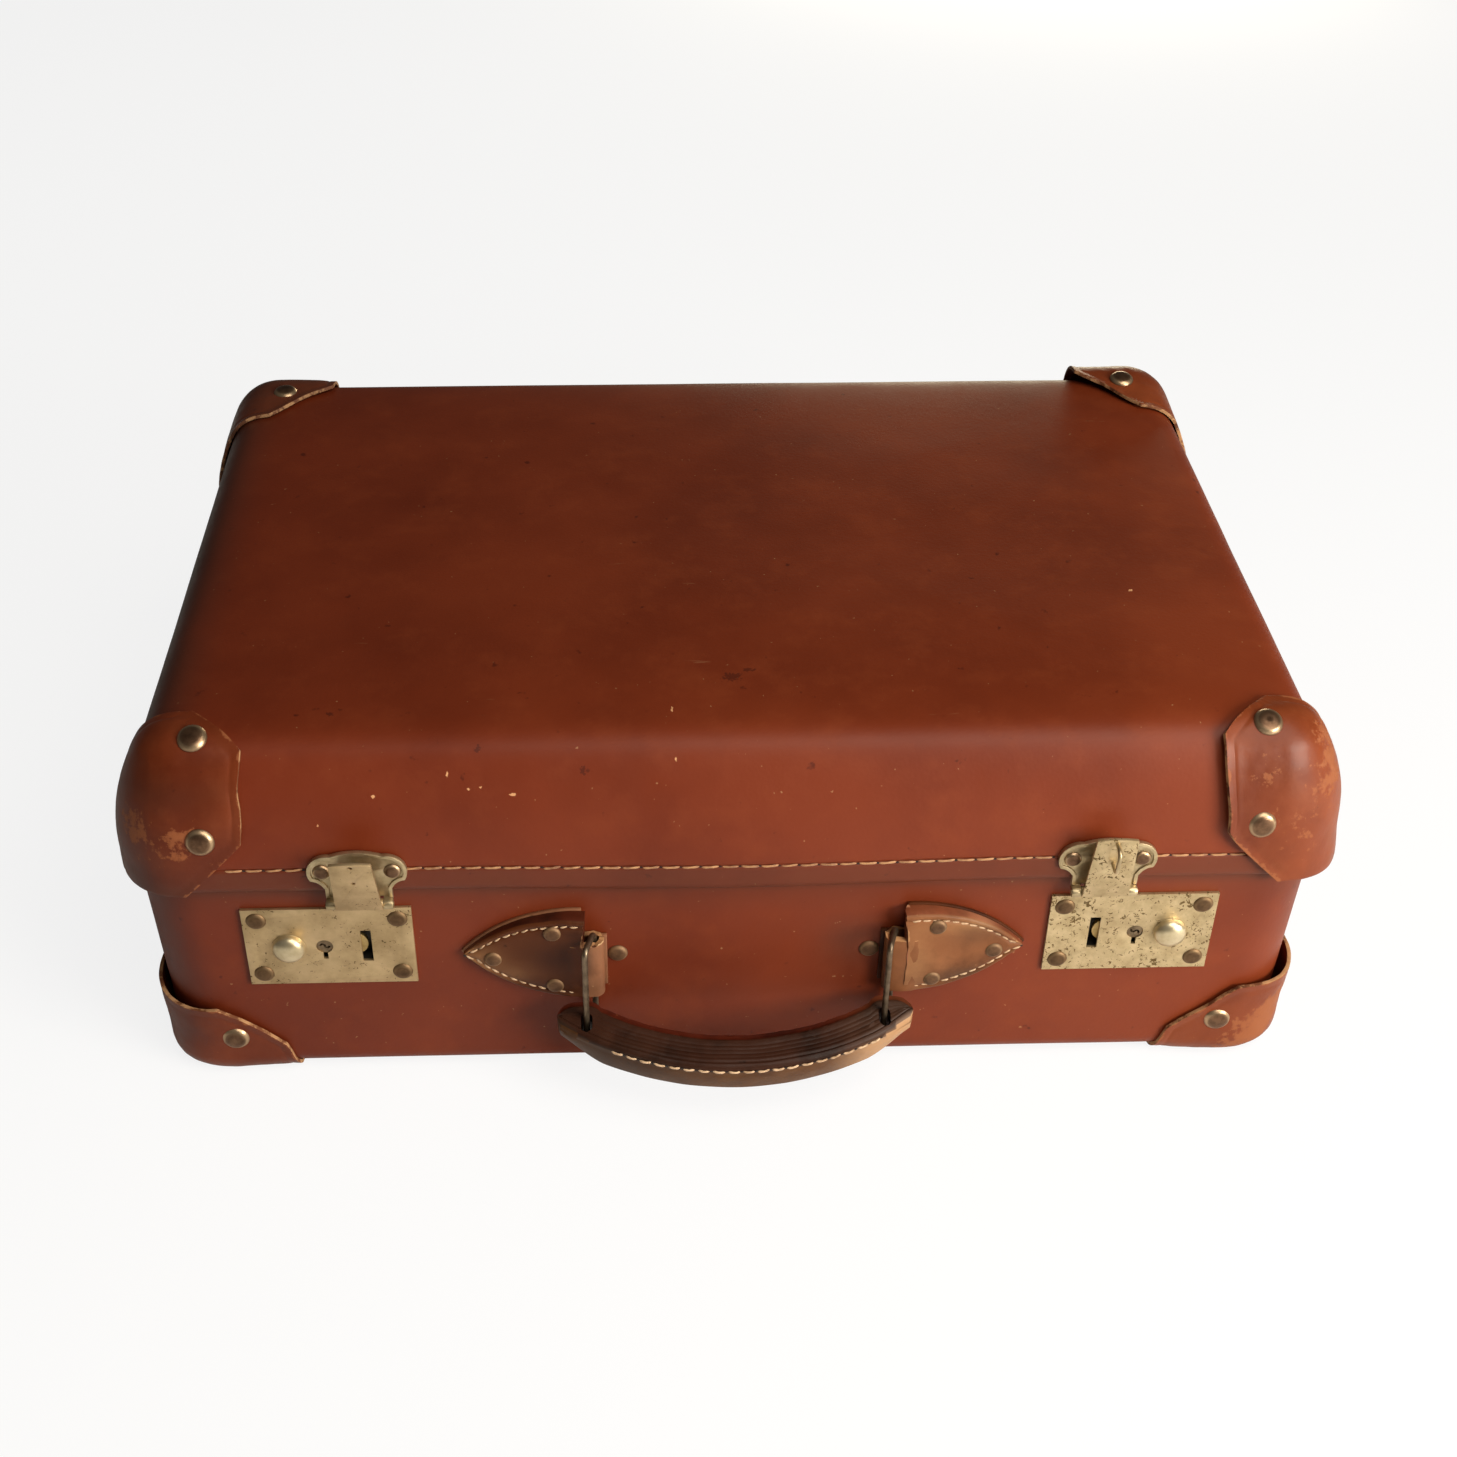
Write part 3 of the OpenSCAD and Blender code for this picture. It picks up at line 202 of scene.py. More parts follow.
# metal: cloudy tarnish with pits that gather in patches
def makeTarnishGroup():
    tree, gi, where, (add, maths, mix, ramp, noiseOf, painted) = groupWith("plateTarnish", {
        "Bright": (0.6, 0.5, 0.35, 1), "Dull": (0.3, 0.22, 0.13, 1), "Pit": (0.05, 0.035, 0.02, 1),
        "Pitting": 0.3, "Cloud": 90.0, "Gloss": 0.35, "Rubbed": (0.55, 0.42, 0.28, 1)})
    cloud = noiseOf(where, gi["Cloud"], 6.0, 0.62)
    tone = mix(ramp(cloud, (0.38, 0.0), (0.72, 1.0)), gi["Bright"], gi["Dull"])
    both = maths("MULTIPLY_ADD", noiseOf(where, 120.0, 3.0), 0.30, noiseOf(where, 640.0, 3.0, 0.6, 0.8))
    pit = ramp(maths("MULTIPLY", maths("ADD", both, gi["Pitting"]), 0.78), (0.97, 0.0), (1.0, 1.0))
    # where worn is painted, the rubbed colour stands for rubbed metal and a painted highlight on the rivet rims
    tone = mix(painted("worn"), mix(pit, tone, gi["Pit"]), gi["Rubbed"])
    rough = maths("ADD", maths("MULTIPLY", cloud, 0.3), gi["Gloss"])
    rough = maths("ADD", rough, maths("MULTIPLY", pit, 0.4))
    add("NodeGroupOutput", tone, rough, maths("SUBTRACT", maths("MULTIPLY", cloud, 0.6), pit))
    return tree


hideGroup, tarnishGroup = makeHideGroup(), makeTarnishGroup()


def finished(name, group, look, bump, metallic=0.0, specular=0.5, sheen=0.0):
    mat = bpy.data.materials.new(name)
    mat.use_nodes = True
    mat.node_tree.nodes.clear()
    add = nodesOf(mat.node_tree)[0]
    g = add("ShaderNodeGroup", node_tree=group,
            **{key: rgb(value) if isinstance(value, str) else value for key, value in look.items()})
    b = add("ShaderNodeBump", Strength=bump, Distance=0.0004, Height=g.outputs["Height"])
    shader = add("ShaderNodeBsdfPrincipled", Metallic=metallic, Roughness=g.outputs["Roughness"],
                 Normal=b.outputs[0], **{"Base Color": g.outputs["Color"], "Specular IOR Level": specular,
                                         "Sheen Weight": sheen})
    add("ShaderNodeOutputMaterial", shader.outputs[0])
    mat.diffuse_color = g.inputs[0].default_value[:]
    return mat


# one row each: the inputs in this order, then bump, specular, sheen and any other inputs
hideInputs = ("Base", "Dark", "Light", "Scuffed", "Mottle", "Specks", "Grain", "Gloss")
hideLook = {
    # caseHide and capHide carry the painted side light in their colour
    "caseHide": ("#752c12", "#64220b", "#863918", "#b98a60", 9.0, 0.4, 620.0, 0.47, 0.16, 0.26, 0,
                 {"Drift": 1.0}),
    "capHide": ("#793418", "#63260f", "#8a4525", "#8e512f", 22.0, 0.3, 520.0, 0.39, 0.16, 0.24, 0,
                {"Drift": 1.0, "Ragged": 1.9}),
    "cutHide": ("#74452b", "#54301c", "#946644", "#b88c62", 120.0, 0.5, 900.0, 0.60, 0.26, 0.26, 0, {}),
    "mountHide": ("#522a14", "#2c1208", "#6a4024", "#9c704a", 34.0, 0.3, 600.0, 0.44, 0.16, 0.15, 0,
                  {"Soil": "#2e1208"}),
    "mountPale": ("#7f4f30", "#58321c", "#a06c46", "#b08258", 42.0, 0.3, 600.0, 0.42, 0.16, 0.15, 0, {}),
    # the mounts' side walls: a shaded copy for the left mount and a lit copy for the right, painted light and
    # shade
    "mountSide": ("#4a1e0f", "#2c120a", "#63301c", "#8a5a3a", 60.0, 0.2, 600.0, 0.50, 0.16, 0.15, 0, {}),
    "mountSidePale": ("#7c432a", "#542a1a", "#a0664a", "#b88260", 60.0, 0.2, 600.0, 0.50, 0.16, 0.15, 0, {}),
    "tabHide": ("#84573c", "#66402a", "#9a6c48", "#c09a70", 60.0, 0.4, 600.0, 0.50, 0.16, 0.26, 0, {}),
    "gripFace": ("#5f3c1e", "#472812", "#784d2a", "#ad8560", 40.0, 0.3, 700.0, 0.36, 0.16, 0.16, 0,
                 {"Soil": "#2a170c"}),
    "gripEdge": ("#371e13", "#23120a", "#4c2e1e", "#6e5340", 50.0, 0.3, 900.0, 0.44, 0.26, 0.16, 0, {}),
    "gripInner": ("#4a190b", "#300e06", "#62281a", "#b06a40", 60.0, 0.4, 700.0, 0.45, 0.16, 0.16, 0, {}),
    "thread": ("#d6b28c", "#a07c58", "#eed4b2", "#e8d4ae", 300.0, 0.2, 2500.0, 0.60, 0.5, 0.5, 0.2, {}),
    "rimThread": ("#b88658", "#855634", "#d2a674", "#e8d4ae", 300.0, 0.2, 2500.0, 0.60, 0.5, 0.5, 0.2, {}),
    "needleHole": ("#1c0d07", "#120804", "#2a150c", "#2a150c", 12.0, 0.0, 450.0, 0.70, 0.1, 0.5, 0, {}),
    "frameWood": ("#b98f5c", "#a07744", "#cda672", "#d8b888", 30.0, 0.1, 1200.0, 0.55, 0.2, 0.5, 0, {}),
    "liningPaper": ("#c4b08a", "#a8946c", "#d6c6a2", "#8c7450", 20.0, 0.3, 1400.0, 0.75, 0.4, 0.5, 0, {}),
}
metalInputs = ("Bright", "Dull", "Pit", "Pitting", "Cloud", "Gloss", "Rubbed")
metalLook = {
    "lockPlateSmooth": ("#cbb188", "#a38b64", "#6a5538", 0.435, 60.0, 0.30),
    "lockPlatePitted": ("#cfba92", "#ab9670", "#78623f", 0.50, 110.0, 0.32),
    "hardware": ("#cbb893", "#94815f", "#4a3a26", 0.34, 90.0, 0.22),
    "keyMetal": ("#85725a", "#5c4c38", "#2c2218", 0.25, 300.0, 0.3),
    "buttonMetal": ("#d9caa8", "#b4a27c", "#5a4a30", 0.24, 120.0, 0.19),
    "rivetBrown": ("#6b5239", "#4c3726", "#2c1d14", 0.35, 300.0, 0.38, "#836a4c"),
    "rivetDark": ("#6a4a30", "#4a2f1c", "#2c1d14", 0.35, 300.0, 0.42, "#8a6a4a"),
    "rivetMetal": ("#755842", "#4a3425", "#2e2018", 0.38, 260.0, 0.20, "#c2a582"),
    "wireMetal": ("#7d6c58", "#4c3e31", "#2c2119", 0.32, 200.0, 0.24),
    "boltBrass": ("#b9a06c", "#8a7040", "#4a3a20", 0.27, 200.0, 0.28),
    "caseSteel": ("#6a6660", "#4a4640", "#2a2520", 0.37, 120.0, 0.40),
}
mats = {}
for key, (*look, bump, specular, sheen, extra) in hideLook.items():
    inputs = dict(zip(hideInputs, look), **extra)
    mats[key] = finished(key, hideGroup, inputs, bump, specular=specular, sheen=sheen)
for key, look in metalLook.items():
    mats[key] = finished(key, tarnishGroup, dict(zip(metalInputs, look)), 0.35,
                         metallic=0.5 if key == "rivetDark" else 0.85)

# dark spots, then pale nicks, of the lid's leather: place in mm and radii in mm
lidMarks = ((0.6, "#3a1208", (
    ((0.7, -117.5, 171.7), (5.2, 3.6, 9)), ((8, -113, 172), (3.0, 1.6, 9)), ((-102, -155, 166), (1.8, 1.6, 3)),
    ((-161.4, -137.8, 170.8), (1.7, 1.7, 4)), ((-60.3, -160.4, 158.5), (1.5, 1.5, 3)))), (0.9, "#d8a070", (
        ((-24.4, -138, 171), (0.55, 2.0, 4)), ((-143.7, -164.5, 149.2), (1.0, 2.0, 1.3)),
        ((-88.3, -164.4, 149.5), (1.6, 2.0, 0.7)), ((-114.1, -160.9, 157.5), (0.6, 2.0, 1.8)),
        ((-166.6, -168.1, 137.8), (0.8, 2.0, 0.9)), ((178.2, -56.8, 171.6), (1.2, 1.2, 4)),
        ((-23.4, -158.8, 161.5), (0.6, 2.0, 1.6)), ((-106, -163.5, 151.7), (1.2, 2.0, 0.6)),
        ((-101.3, -163.2, 152.4), (0.7, 2.0, 0.6)))))


def markHide(tree):
    add, maths, mix, ramp, noiseOf, painted = nodesOf(tree)
    colour = next(n for n in tree.nodes if n.type == "BSDF_PRINCIPLED").inputs["Base Color"]
    tone, where = colour.links[0].from_socket, add("ShaderNodeTexCoord").outputs["Object"]
    rough = noiseOf(where, 900.0, 3.0)
    for strength, tint, spots in lidMarks:
        total = None
        for at, radii in spots:
            away = add("ShaderNodeVectorMath", where, place(at), operation="SUBTRACT").outputs[0]
            widths = tuple(1000 / r for r in radii)
            scaled = add("ShaderNodeVectorMath", away, widths, operation="MULTIPLY").outputs[0]
            far = add("ShaderNodeVectorMath", scaled, operation="LENGTH").outputs["Value"]
            uneven = maths("MULTIPLY_ADD", rough, 2.4, far)
            mask = ramp(maths("MULTIPLY", uneven, 0.4), (0.70, 1.0), (0.80, 0.0))
            total = maths("MAXIMUM", total, mask) if total else mask
        tone = mix(maths("MULTIPLY", total, strength), tone, rgb(tint))
    tree.links.new(tone, colour)


markHide(mats["caseHide"].node_tree)
print("materials made:", len(mats))


# meshes and objects
def smooth(mesh, angle):
    mesh.polygons.foreach_set("use_smooth", [True] * len(mesh.polygons))
    mesh.set_sharp_from_angle(angle=radians(angle))
    mesh.update()


def paint(mesh, layer, values):
    mesh.attributes.new(layer, "FLOAT", "POINT").data.foreach_set("value", values)


def meshFrom(name, points, faces, angle):
    mesh = bpy.data.meshes.new(name)
    mesh.from_pydata(points, [], faces)
    bm = bmesh.new()
    bm.from_mesh(mesh)
    bmesh.ops.recalc_face_normals(bm, faces=bm.faces)
    bm.to_mesh(mesh)
    bm.free()
    smooth(mesh, angle)
    return mesh


def linked(name, data):
    obj = bpy.data.objects.new(name, data)
    scene.collection.objects.link(obj)
    return obj


def held(obj, body, slotName, *nodes):
    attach(obj, body)
    if nodes:
        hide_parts(*nodes)


def pieceFrom(name, verts, faces, materials, angle=42, faceMats=None, **layers):
    mesh = meshFrom(name, [place(v) for v in verts], faces, angle)
    for m in materials:
        mesh.materials.append(mats[m])
    if faceMats:
        mesh.polygons.foreach_set("material_index", faceMats)
    for layer, values in layers.items():
        paint(mesh, layer, values)
    return linked(name, mesh)


def applied(obj, angle=42):
    bpy.context.view_layer.update()
    done = bpy.data.meshes.new_from_object(obj.evaluated_get(bpy.context.evaluated_depsgraph_get()))
    done.name = obj.name
    obj.modifiers.clear()
    obj.data = done
    smooth(done, angle)


def cutAway(obj, cutter, angle):
    cut = obj.modifiers.new("cut", "BOOLEAN")
    cut.object, cut.operation, cut.solver = cutter, "DIFFERENCE", "EXACT"
    applied(obj, angle)
    bpy.data.objects.remove(cutter)


def bevelled(obj, width, limit):
    b = obj.modifiers.new("roundedEdge", "BEVEL")
    b.width, b.segments, b.limit_method, b.angle_limit = width / 1000, 2, "ANGLE", radians(limit)


def gridFaces(rows, n, around=True):
    return [(i * n + j, i * n + (j + 1) % n, (i + 1) * n + (j + 1) % n, (i + 1) * n + j)
            for i in range(rows - 1) for j in range(n if around else n - 1)]


def loft(rings, startCentre, endCentre):
    n, rows = len(rings[0]), len(rings)
    verts = [p for ring in rings for p in ring] + [startCentre, endCentre]
    faces = gridFaces(rows, n)
    for ring, centre in ((0, rows * n), (rows - 1, rows * n + 1)):
        faces += [(ring * n + j, ring * n + (j + 1) % n, centre) for j in range(n)]
    return verts, faces


def roundRing(hx, hy, r, counts=(14, 90, 60)):
    nc, nx, ny = counts
    corners = [(hx - r, r - hy, -90), (hx - r, hy - r, 0), (r - hx, hy - r, 90), (r - hx, r - hy, 180)]
    on = lambda c, a: (c[0] + r * cos(radians(a)), c[1] + r * sin(radians(a)))
    ring = []
    for i, c in enumerate(corners):
        ring += [on(c, c[2] + 90 * k / nc) for k in range(nc + 1)]
        start, following = ring[-1], corners[(i + 1) % 4]
        end, n = on(following, following[2]), nx if i % 2 else ny
        ring += [(lerp(start[0], end[0], k / n), lerp(start[1], end[1], k / n)) for k in range(1, n)]
    return ring


# goes along a trail at an even pitch, and gives each step's number, the way along it and its length
def strides(trail, due, pitch):
    gone = 0.0
    for k, (a, b) in enumerate(zip(trail, trail[1:])):
        size = math.dist(a, b)
        while size > 0 and gone + size >= due:
            yield k, due - gone, size
            due += pitch
        gone += size


# the lid's edge: a wide curve low down, a tight one above it, then the crowned top
edgeC, edgeK = case["lowR"] - case["reach"], case["rise"] - case["lowR"]
edgeStep = (edgeC ** 2 + edgeK ** 2) / (-2 * edgeK)
topR = case["lowR"] - edgeStep
edgeA = math.acos(edgeC / edgeStep)
edgeZ = case["flat"] - case["rise"]
topCentreZ = edgeZ + edgeStep * sin(edgeA)
topTilt = radians(case["topTilt"])
topInset = case["reach"] - topR * sin(topTilt)
topZ = topCentreZ + topR * cos(topTilt)


def lidSection(o, steps=(12, 16)):
    curves = ((case["lowR"], edgeZ, case["lowR"] + o, 0.0, edgeA, range(steps[0] + 1), steps[0]),
              (case["reach"], topCentreZ, topR + o, edgeA, pi / 2, range(1, steps[1] + 1), steps[1]))
    return [(x - r * cos(lerp(a, b, k / n)), z + r * sin(lerp(a, b, k / n)))
            for x, z, r, a, b, count, n in curves for k in count]


def crownAt(x, y):
    fx, fy = min(1, abs(x) / (case["halfX"] - topInset)), min(1, abs(y) / (case["halfY"] - topInset))
    return case["crown"] * (1 - fx ** 8) * (1 - fy ** 6)


def bowed(p):
    if p[1] > 0 or abs(p[0]) > case["bowHalf"]:
        return p
    amount = case["bow"] * (1 - (p[0] / case["bowHalf"]) ** 2) ** 2 * (1 - ease((p[2] - case["rim"]) / 58))
    return (p[0], p[1] - amount * ease(-p[1] / case["halfY"]), p[2])


def lidShell():
    wall, rim, roof = case["wall"], case["rim"], topCentreZ + topR - case["wall"]
    rings = []

    def ring(inset, z, scale=1.0, crown=False, outside=True):
        out = []
        for x, y in roundRing(case["halfX"] - inset, case["halfY"] - inset, max(case["cornerR"] - inset, 3.0)):
            x, y = x * scale, y * scale
            p = (x, y, z + (crownAt(x, y) if crown else 0))
            if outside:
                n = Vector((0, 0, 1)) if crown else Vector((x, y, 0)).normalized()
                p = tuple(Vector(p) + n * (wobble(p, 85, 0.4) + wobble(p, 24, 0.08, 3.1)))
            out.append(bowed(p))
        rings.append(out)

    ring(wall, roof, 0.3, outside=False)
    inner = [(case["reach"], roof)] + lidSection(-wall)[-2::-1] + [(wall, rim + 0.4), (wall - 0.4, rim)]
    for inset, z in inner:
        ring(inset, z, outside=False)
    for h in (0.0, 0.35, 1.2, 3, 5.5, 8, 9.8, 10.6, 11.1, 11.5, 11.9, 12.3, 12.8, 13.6):
        # the binding, its stitched groove and its upper edge
        inset = 0.55 * bell(h - 11.7, 0.6) + 0.7 * bell(h, 0.8) - 0.45 * ease((12.0 - h) / 1.2) * ease(h / 2)
        ring(inset, rim + h)
    first = len(rings)
    for inset, z in lidSection(0):
        if rim + 14 < z < topZ - 0.1:
            ring(inset, z)
    ring(topInset, topZ)
    for scale in (0.992, 0.98, 0.965, 0.945, 0.92, 0.89, 0.85, 0.8, 0.74, 0.66, 0.56, 0.44, 0.32, 0.2, 0.1):
        ring(topInset, topZ, scale, True)
    for _ in range(18):  # the curvature of the edge comes in gradually
        rings[first:-4] = [[tuple(0.25 * a + 0.5 * b + 0.25 * c for a, b, c in zip(*trio))
                            for trio in zip(*rings[i - 1:i + 2])] for i in range(first, len(rings) - 4)]
    verts, faces = loft(rings, (0, 0, roof), (0, 0, topZ + case["crown"]))
    worn = [min(1.0, 0.26 * ease((-y - 120) / 30) * bell(z - 157, 12) + 0.25 * bell(z - rim, 1.2))
            for x, y, z in verts]
    # painted shade: the left wall is darkened as the side the light does not reach; the front binding below the
    # stitches is darkened as well
    soiled = [max(0.74 * ease((-x - 208) / 40), 0.30 * ease((118.5 - z) / 1.5) * (y < 0)) for x, y, z in verts]
    held(pieceFrom("lidHide", verts, faces, ["caseHide"], 50, worn=worn, soiled=soiled), "lid", "case_leather",
         "lid_shell", "lid_rim_band")


def baseSide(z):
    return base["halfX"] - (base["lip"] - z) * base["lean"] / (base["lip"] - base["low"])


def baseWallPoints(o):
    low, r = base["low"] - o, base["bottomR"] + o
    pts = [(-o, z) for z in (base["lip"] - 0.02, 112, 106, 100, 88, 74, 60, 46, 34, 24, 17, low + r + 1.5)]
    return pts + [(r * (1 - cos(a)) - o, low + r - r * sin(a)) for a in [pi / 2 * k / 10 for k in range(11)]]


def baseRing(inset, z, scale=1.0, outside=True):
    out = []
    for x, y in roundRing(baseSide(z) - inset, base["halfY"] - inset, max(base["cornerR"] - inset, 3.0)):
        p = (x * scale, y * scale, z)
        if outside and z < 104 and scale == 1.0:
            d = wobble(p, 80, 0.35, 5.0) + wobble(p, 24, 0.12, 1.7)
            p = tuple(Vector(p) + Vector((x, y, 0)).normalized() * (d - 0.1))
        out.append(p)
    return out


def baseShell():
    wall, low, window = base["wall"], base["low"], {"x": (136.4, 198.6), "y": (-176, -158), "z": (63.9, 86.1)}
    sunk = {"side": 0.9, "corner": 0.6, "floor": 0.8}  # the inside lies this far behind the lining
    floorZ = low + wall - sunk["floor"]
    rings = [baseRing(wall + 6, floorZ, s, False) for s in (0.3, 1.0)]
    rings += [baseRing(i - sunk["side"] * (z < 60), z - sunk["corner"] * (z < 20), 1.0, False)
              for i, z in reversed(baseWallPoints(-wall))]
    rings += [baseRing(i, z) for i, z in baseWallPoints(0.0)]
    rings += [baseRing(base["bottomR"], low, s) for s in (0.97, 0.8, 0.3)]
    verts, faces = loft(rings, (0, 0, floorZ), (0, 0, low))
    worn = [0.35 * bell(z - 4, 5) for x, y, z in verts]
    # painted shade under the lid's overhanging rim, and a painted shadow of the right mount on the front
    soiled = [0.5 * ease((z - 97) / 9) + (y < 0) * 0.4 * blob((x, z), (50, 70), (13, 14)) for x, y, z in verts]
    obj = pieceFrom("baseHide", verts, faces, ["caseHide"], 50, worn=worn, soiled=soiled)
    for side in sides:
        xs = sorted(side * x for x in window["x"])
        verts = [(x, y, z) for x in xs for y in window["y"] for z in window["z"]]
        faces = [(0, 1, 3, 2), (4, 6, 7, 5), (0, 4, 5, 1), (2, 3, 7, 6), (0, 2, 6, 4), (1, 5, 7, 3)]
        cutAway(obj, pieceFrom("lockWindow", verts, faces, ["caseHide"]), 50)
    held(obj, "base", "case_leather", "base_shell")


lidShell()
baseShell()
print("lid and base made")

# corner caps: each is drawn for the corner where x and y are both positive, then turned to its place
capShape = {
    "lidFront": {"x": [(29, 106.2), (53, 131), (55, 146), (55.5, 185)],
                 "y": [(21, 106.2), (32, 131), (35, 146), (35, 185)], "diag": ((34, 35), (55.5, 16))},
    "lidBack": {"x": [(29, 106.2), (57.5, 131), (59.5, 146), (60, 185)],
                "y": [(21, 106.2), (55, 131), (58, 146), (58, 185)], "diag": ((31, 58), (60, 29))},
    "baseCap": {"x": [(62, -2), (56, 18.5), (30, 43)], "y": [(62, -2), (56, 18.5), (30, 47)],
                "diag": ((38, 62), (62, 24)), "top": 43.0},
    "counts": (52, 34, 58), "leather": 1.6, "rounding": 0.3, "puff": 0.55, "crease": -0.28,
}


def capSurface(lid):
    box = case if lid else base
    if lid:
        rows = [(0, z) for z in (106.2, 107.4, 108.8, 110.2, 111.6, 113.0)] + lidSection(0, (26, 24))
        rows += [(case["reach"] + k * 1.6, case["flat"]) for k in range(1, 22)]
    else:
        r, low = base["bottomR"], base["low"]
        rows = [(0, 48.0 - 1.3 * k) for k in range(29)]
        rows += [(r * (1 - cos(a)), low + r - r * sin(a)) for a in [pi / 2 * k / 9 for k in range(10)]]
        rows += [(r + 1.8 * k, low) for k in range(1, 32)]
    nFront, nArc, nSide = capShape["counts"]
    verts = []
    for inset, z in rows:
        hx, hy = (box["halfX"] if lid else baseSide(z)) - inset, box["halfY"] - inset
        r = max(box["cornerR"] - inset, 3.0)
        xStart, yStart = min(box["halfX"] - 66, hx - r - 1), min(box["halfY"] - 72, hy - r - 1)
        line = [(lerp(xStart, hx - r, k / nFront), hy) for k in range(nFront)]
        line += [(hx - r + r * sin(a), hy - r + r * cos(a)) for a in [pi / 2 * k / nArc for k in range(nArc)]]
        line += [(hx, lerp(hy - r, yStart, k / nSide)) for k in range(nSide + 1)]
        verts += [(x, y, z + (crownAt(x, y) if z > topZ else 0)) for x, y in line]
    return verts, gridFaces(len(rows), len(line), around=False)


def capBorders(shape, box):
    planes = []
    for axis, half in (("x", box["halfX"]), ("y", box["halfY"])):
        flat = lambda s, z: Vector((s, 0, z) if axis == "x" else (0, s, z))
        pts = [(half - reach, z) for reach, z in shape[axis]]
        for (a, za), (b, zb) in zip(pts, pts[1:]):
            size = math.hypot(b - a, zb - za)
            planes.append((flat(a, za), flat((zb - za) / size, (a - b) / size)))
    a, b = [Vector((box["halfX"] - x, box["halfY"] - y, 0)) for x, y in shape["diag"]]
    normal = Vector((b.y - a.y, a.x - b.x, 0)).normalized()
    planes.append((a, -normal if normal.x < 0 else normal))
    if "top" in shape:
        planes.append((Vector((0, 0, shape["top"])), Vector((0, 0, -1))))
    return planes


# lifts: which border stands off, how high and how far in; scuffs, pulls and darkened spots: each round one point
def cap(node, seed, lifts, scuffs, pulls, soils=()):
    part, _, end, side = node.split("_")
    lid, sx, sy = part == "lid", 1 if side == "right" else -1, 1 if end == "back" else -1
    verts, faces = capSurface(lid)
    planes = capBorders(capShape["lid" + end.title() if lid else "baseCap"], case if lid else base)
    bm = bmesh.new()
    made = [bm.verts.new(v) for v in verts]
    for f in faces:
        bm.faces.new([made[i] for i in f])
    for at, normal in planes:
        bmesh.ops.bisect_plane(bm, geom=bm.verts[:] + bm.edges[:] + bm.faces[:], plane_co=at, plane_no=normal,
                               clear_inner=True, dist=0.0001)
    bmesh.ops.remove_doubles(bm, verts=bm.verts, dist=0.02)
    bm.normal_update()
    if sum(f.normal.dot(Vector((1, 1, 0.4))) for f in bm.faces) < 0:
        bmesh.ops.reverse_faces(bm, faces=bm.faces)
        bm.normal_update()
    worn, soiled = bm.verts.layers.float.new("worn"), bm.verts.layers.float.new("soiled")
    for v in bm.verts:
        gaps = [(v.co - at).dot(normal) for at, normal in planes]
        edge = max(0.0, min(gaps))
        lift = 0.15 + wobble(v.co, 16, 0.35, seed) + wobble(v.co, 5, 0.12, seed)
        lift += sum(height * math.exp(-max(0.0, gaps[i]) / span) for i, (height, span) in lifts.items())
        lift += capShape["puff"] * ease(edge / 14) + capShape["crease"] * bell(edge - 3.6, 0.9)
        move = v.normal * max(0.05, lift) if lid or v.co.z > 3.0 else Vector((0, 0, 0))
        for centre, spread, pull in pulls:
            move += Vector(pull) * blob(v.co, centre, spread)
        w = 0.55 * bell(edge, 1.6) + (0.25 * bell(v.co.z - case["rim"], 2.0) if lid else 0)
        w += sum(power * blob(v.co, centre, (size, size, size)) for centre, size, power in scuffs)
        v[worn] = min(1.0, w)
        # painted shade, in the darkened spots
        v[soiled] = sum(power * blob(v.co, centre, size) for centre, size, power in soils)
        to = v.co + move
        v.co = place((to.x * sx, to.y * sy, to.z))
    if sx * sy < 0:
        bmesh.ops.reverse_faces(bm, faces=bm.faces)
    mesh = bpy.data.meshes.new(camel(node))
    bm.to_mesh(mesh)
    bm.free()
    mesh.materials.append(mats["capHide"])
    mesh.materials.append(mats["cutHide"])
    obj = linked(camel(node), mesh)
    s = obj.modifiers.new("thickness", "SOLIDIFY")
    s.thickness, s.offset, s.use_even_offset, s.material_offset_rim = capShape["leather"] / 1000, 1.0, False, 1
    bevelled(obj, capShape["rounding"], 55)
    applied(obj, 48)
    held(obj, part, "cap_leather", node)


# the darkened spots given to the two left lid caps are painted shade of the left side
cap("lid_cap_front_left", 1.3, {3: (0.3, 4.0), 2: (0.3, 3.0)},
    [((228, 170, 130), 15, 0.42), ((240, 160, 138), 13, 0.48), ((212, 171, 136), 11, 0.42)],
    [((250, 165, 135), (40, 50, 30), (1.8, 0.8, 0)), ((245, 168, 106), (30, 30, 9), (0.9, 0.6, 0)),
     ((195, 166, 153), (6, 20, 9), (1.6, 0, 0))],
    [((254, 146, 152), (8, 40, 16), 0.6), ((222, 170, 106), (60, 30, 9), 0.25),
     ((225, 168, 152), (26, 20, 6), 0.2)])
cap("lid_cap_front_right", 4.7, {0: (0.9, 5), 1: (1.3, 6), 2: (1.4, 6)},
    [((240, 158, 150), 16, 0.52), ((226, 168, 128), 20, 0.40), ((238, 145, 164), 12, 0.5),
     ((210, 166, 156), 12, 0.48)],
    [((250, 160, 140), (40, 60, 34), (2.8, 1.2, 0)), ((246, 165, 106), (30, 34, 11), (3.4, 1.8, -1.5)),
     ((195, 168, 140), (7, 20, 16), (2.2, 0, 0)), ((204, 171, 122), (6, 10, 6), (-2.0, 0, 2.0))])
cap("lid_cap_back_left", 7.9, {6: (0.8, 5)}, (),
    [((215, 160, 172), (30, 22, 22), (0, 0.6, 1.7)), ((204, 132, 172), (12, 12, 20), (1.2, 1.2, 0))],
    [((225, 150, 170), (60, 60, 60), 0.4)])
cap("lid_cap_back_right", 9.2, {6: (1.2, 5), 2: (1.5, 8)}, (),
    [((218, 158, 170), (36, 27, 24), (0, 0.8, 4.4)), ((186, 150, 172), (16, 16, 20), (0, 0, 1.6)),
     ((204, 132, 172), (12, 12, 20), (1.6, 1.6, 0))])
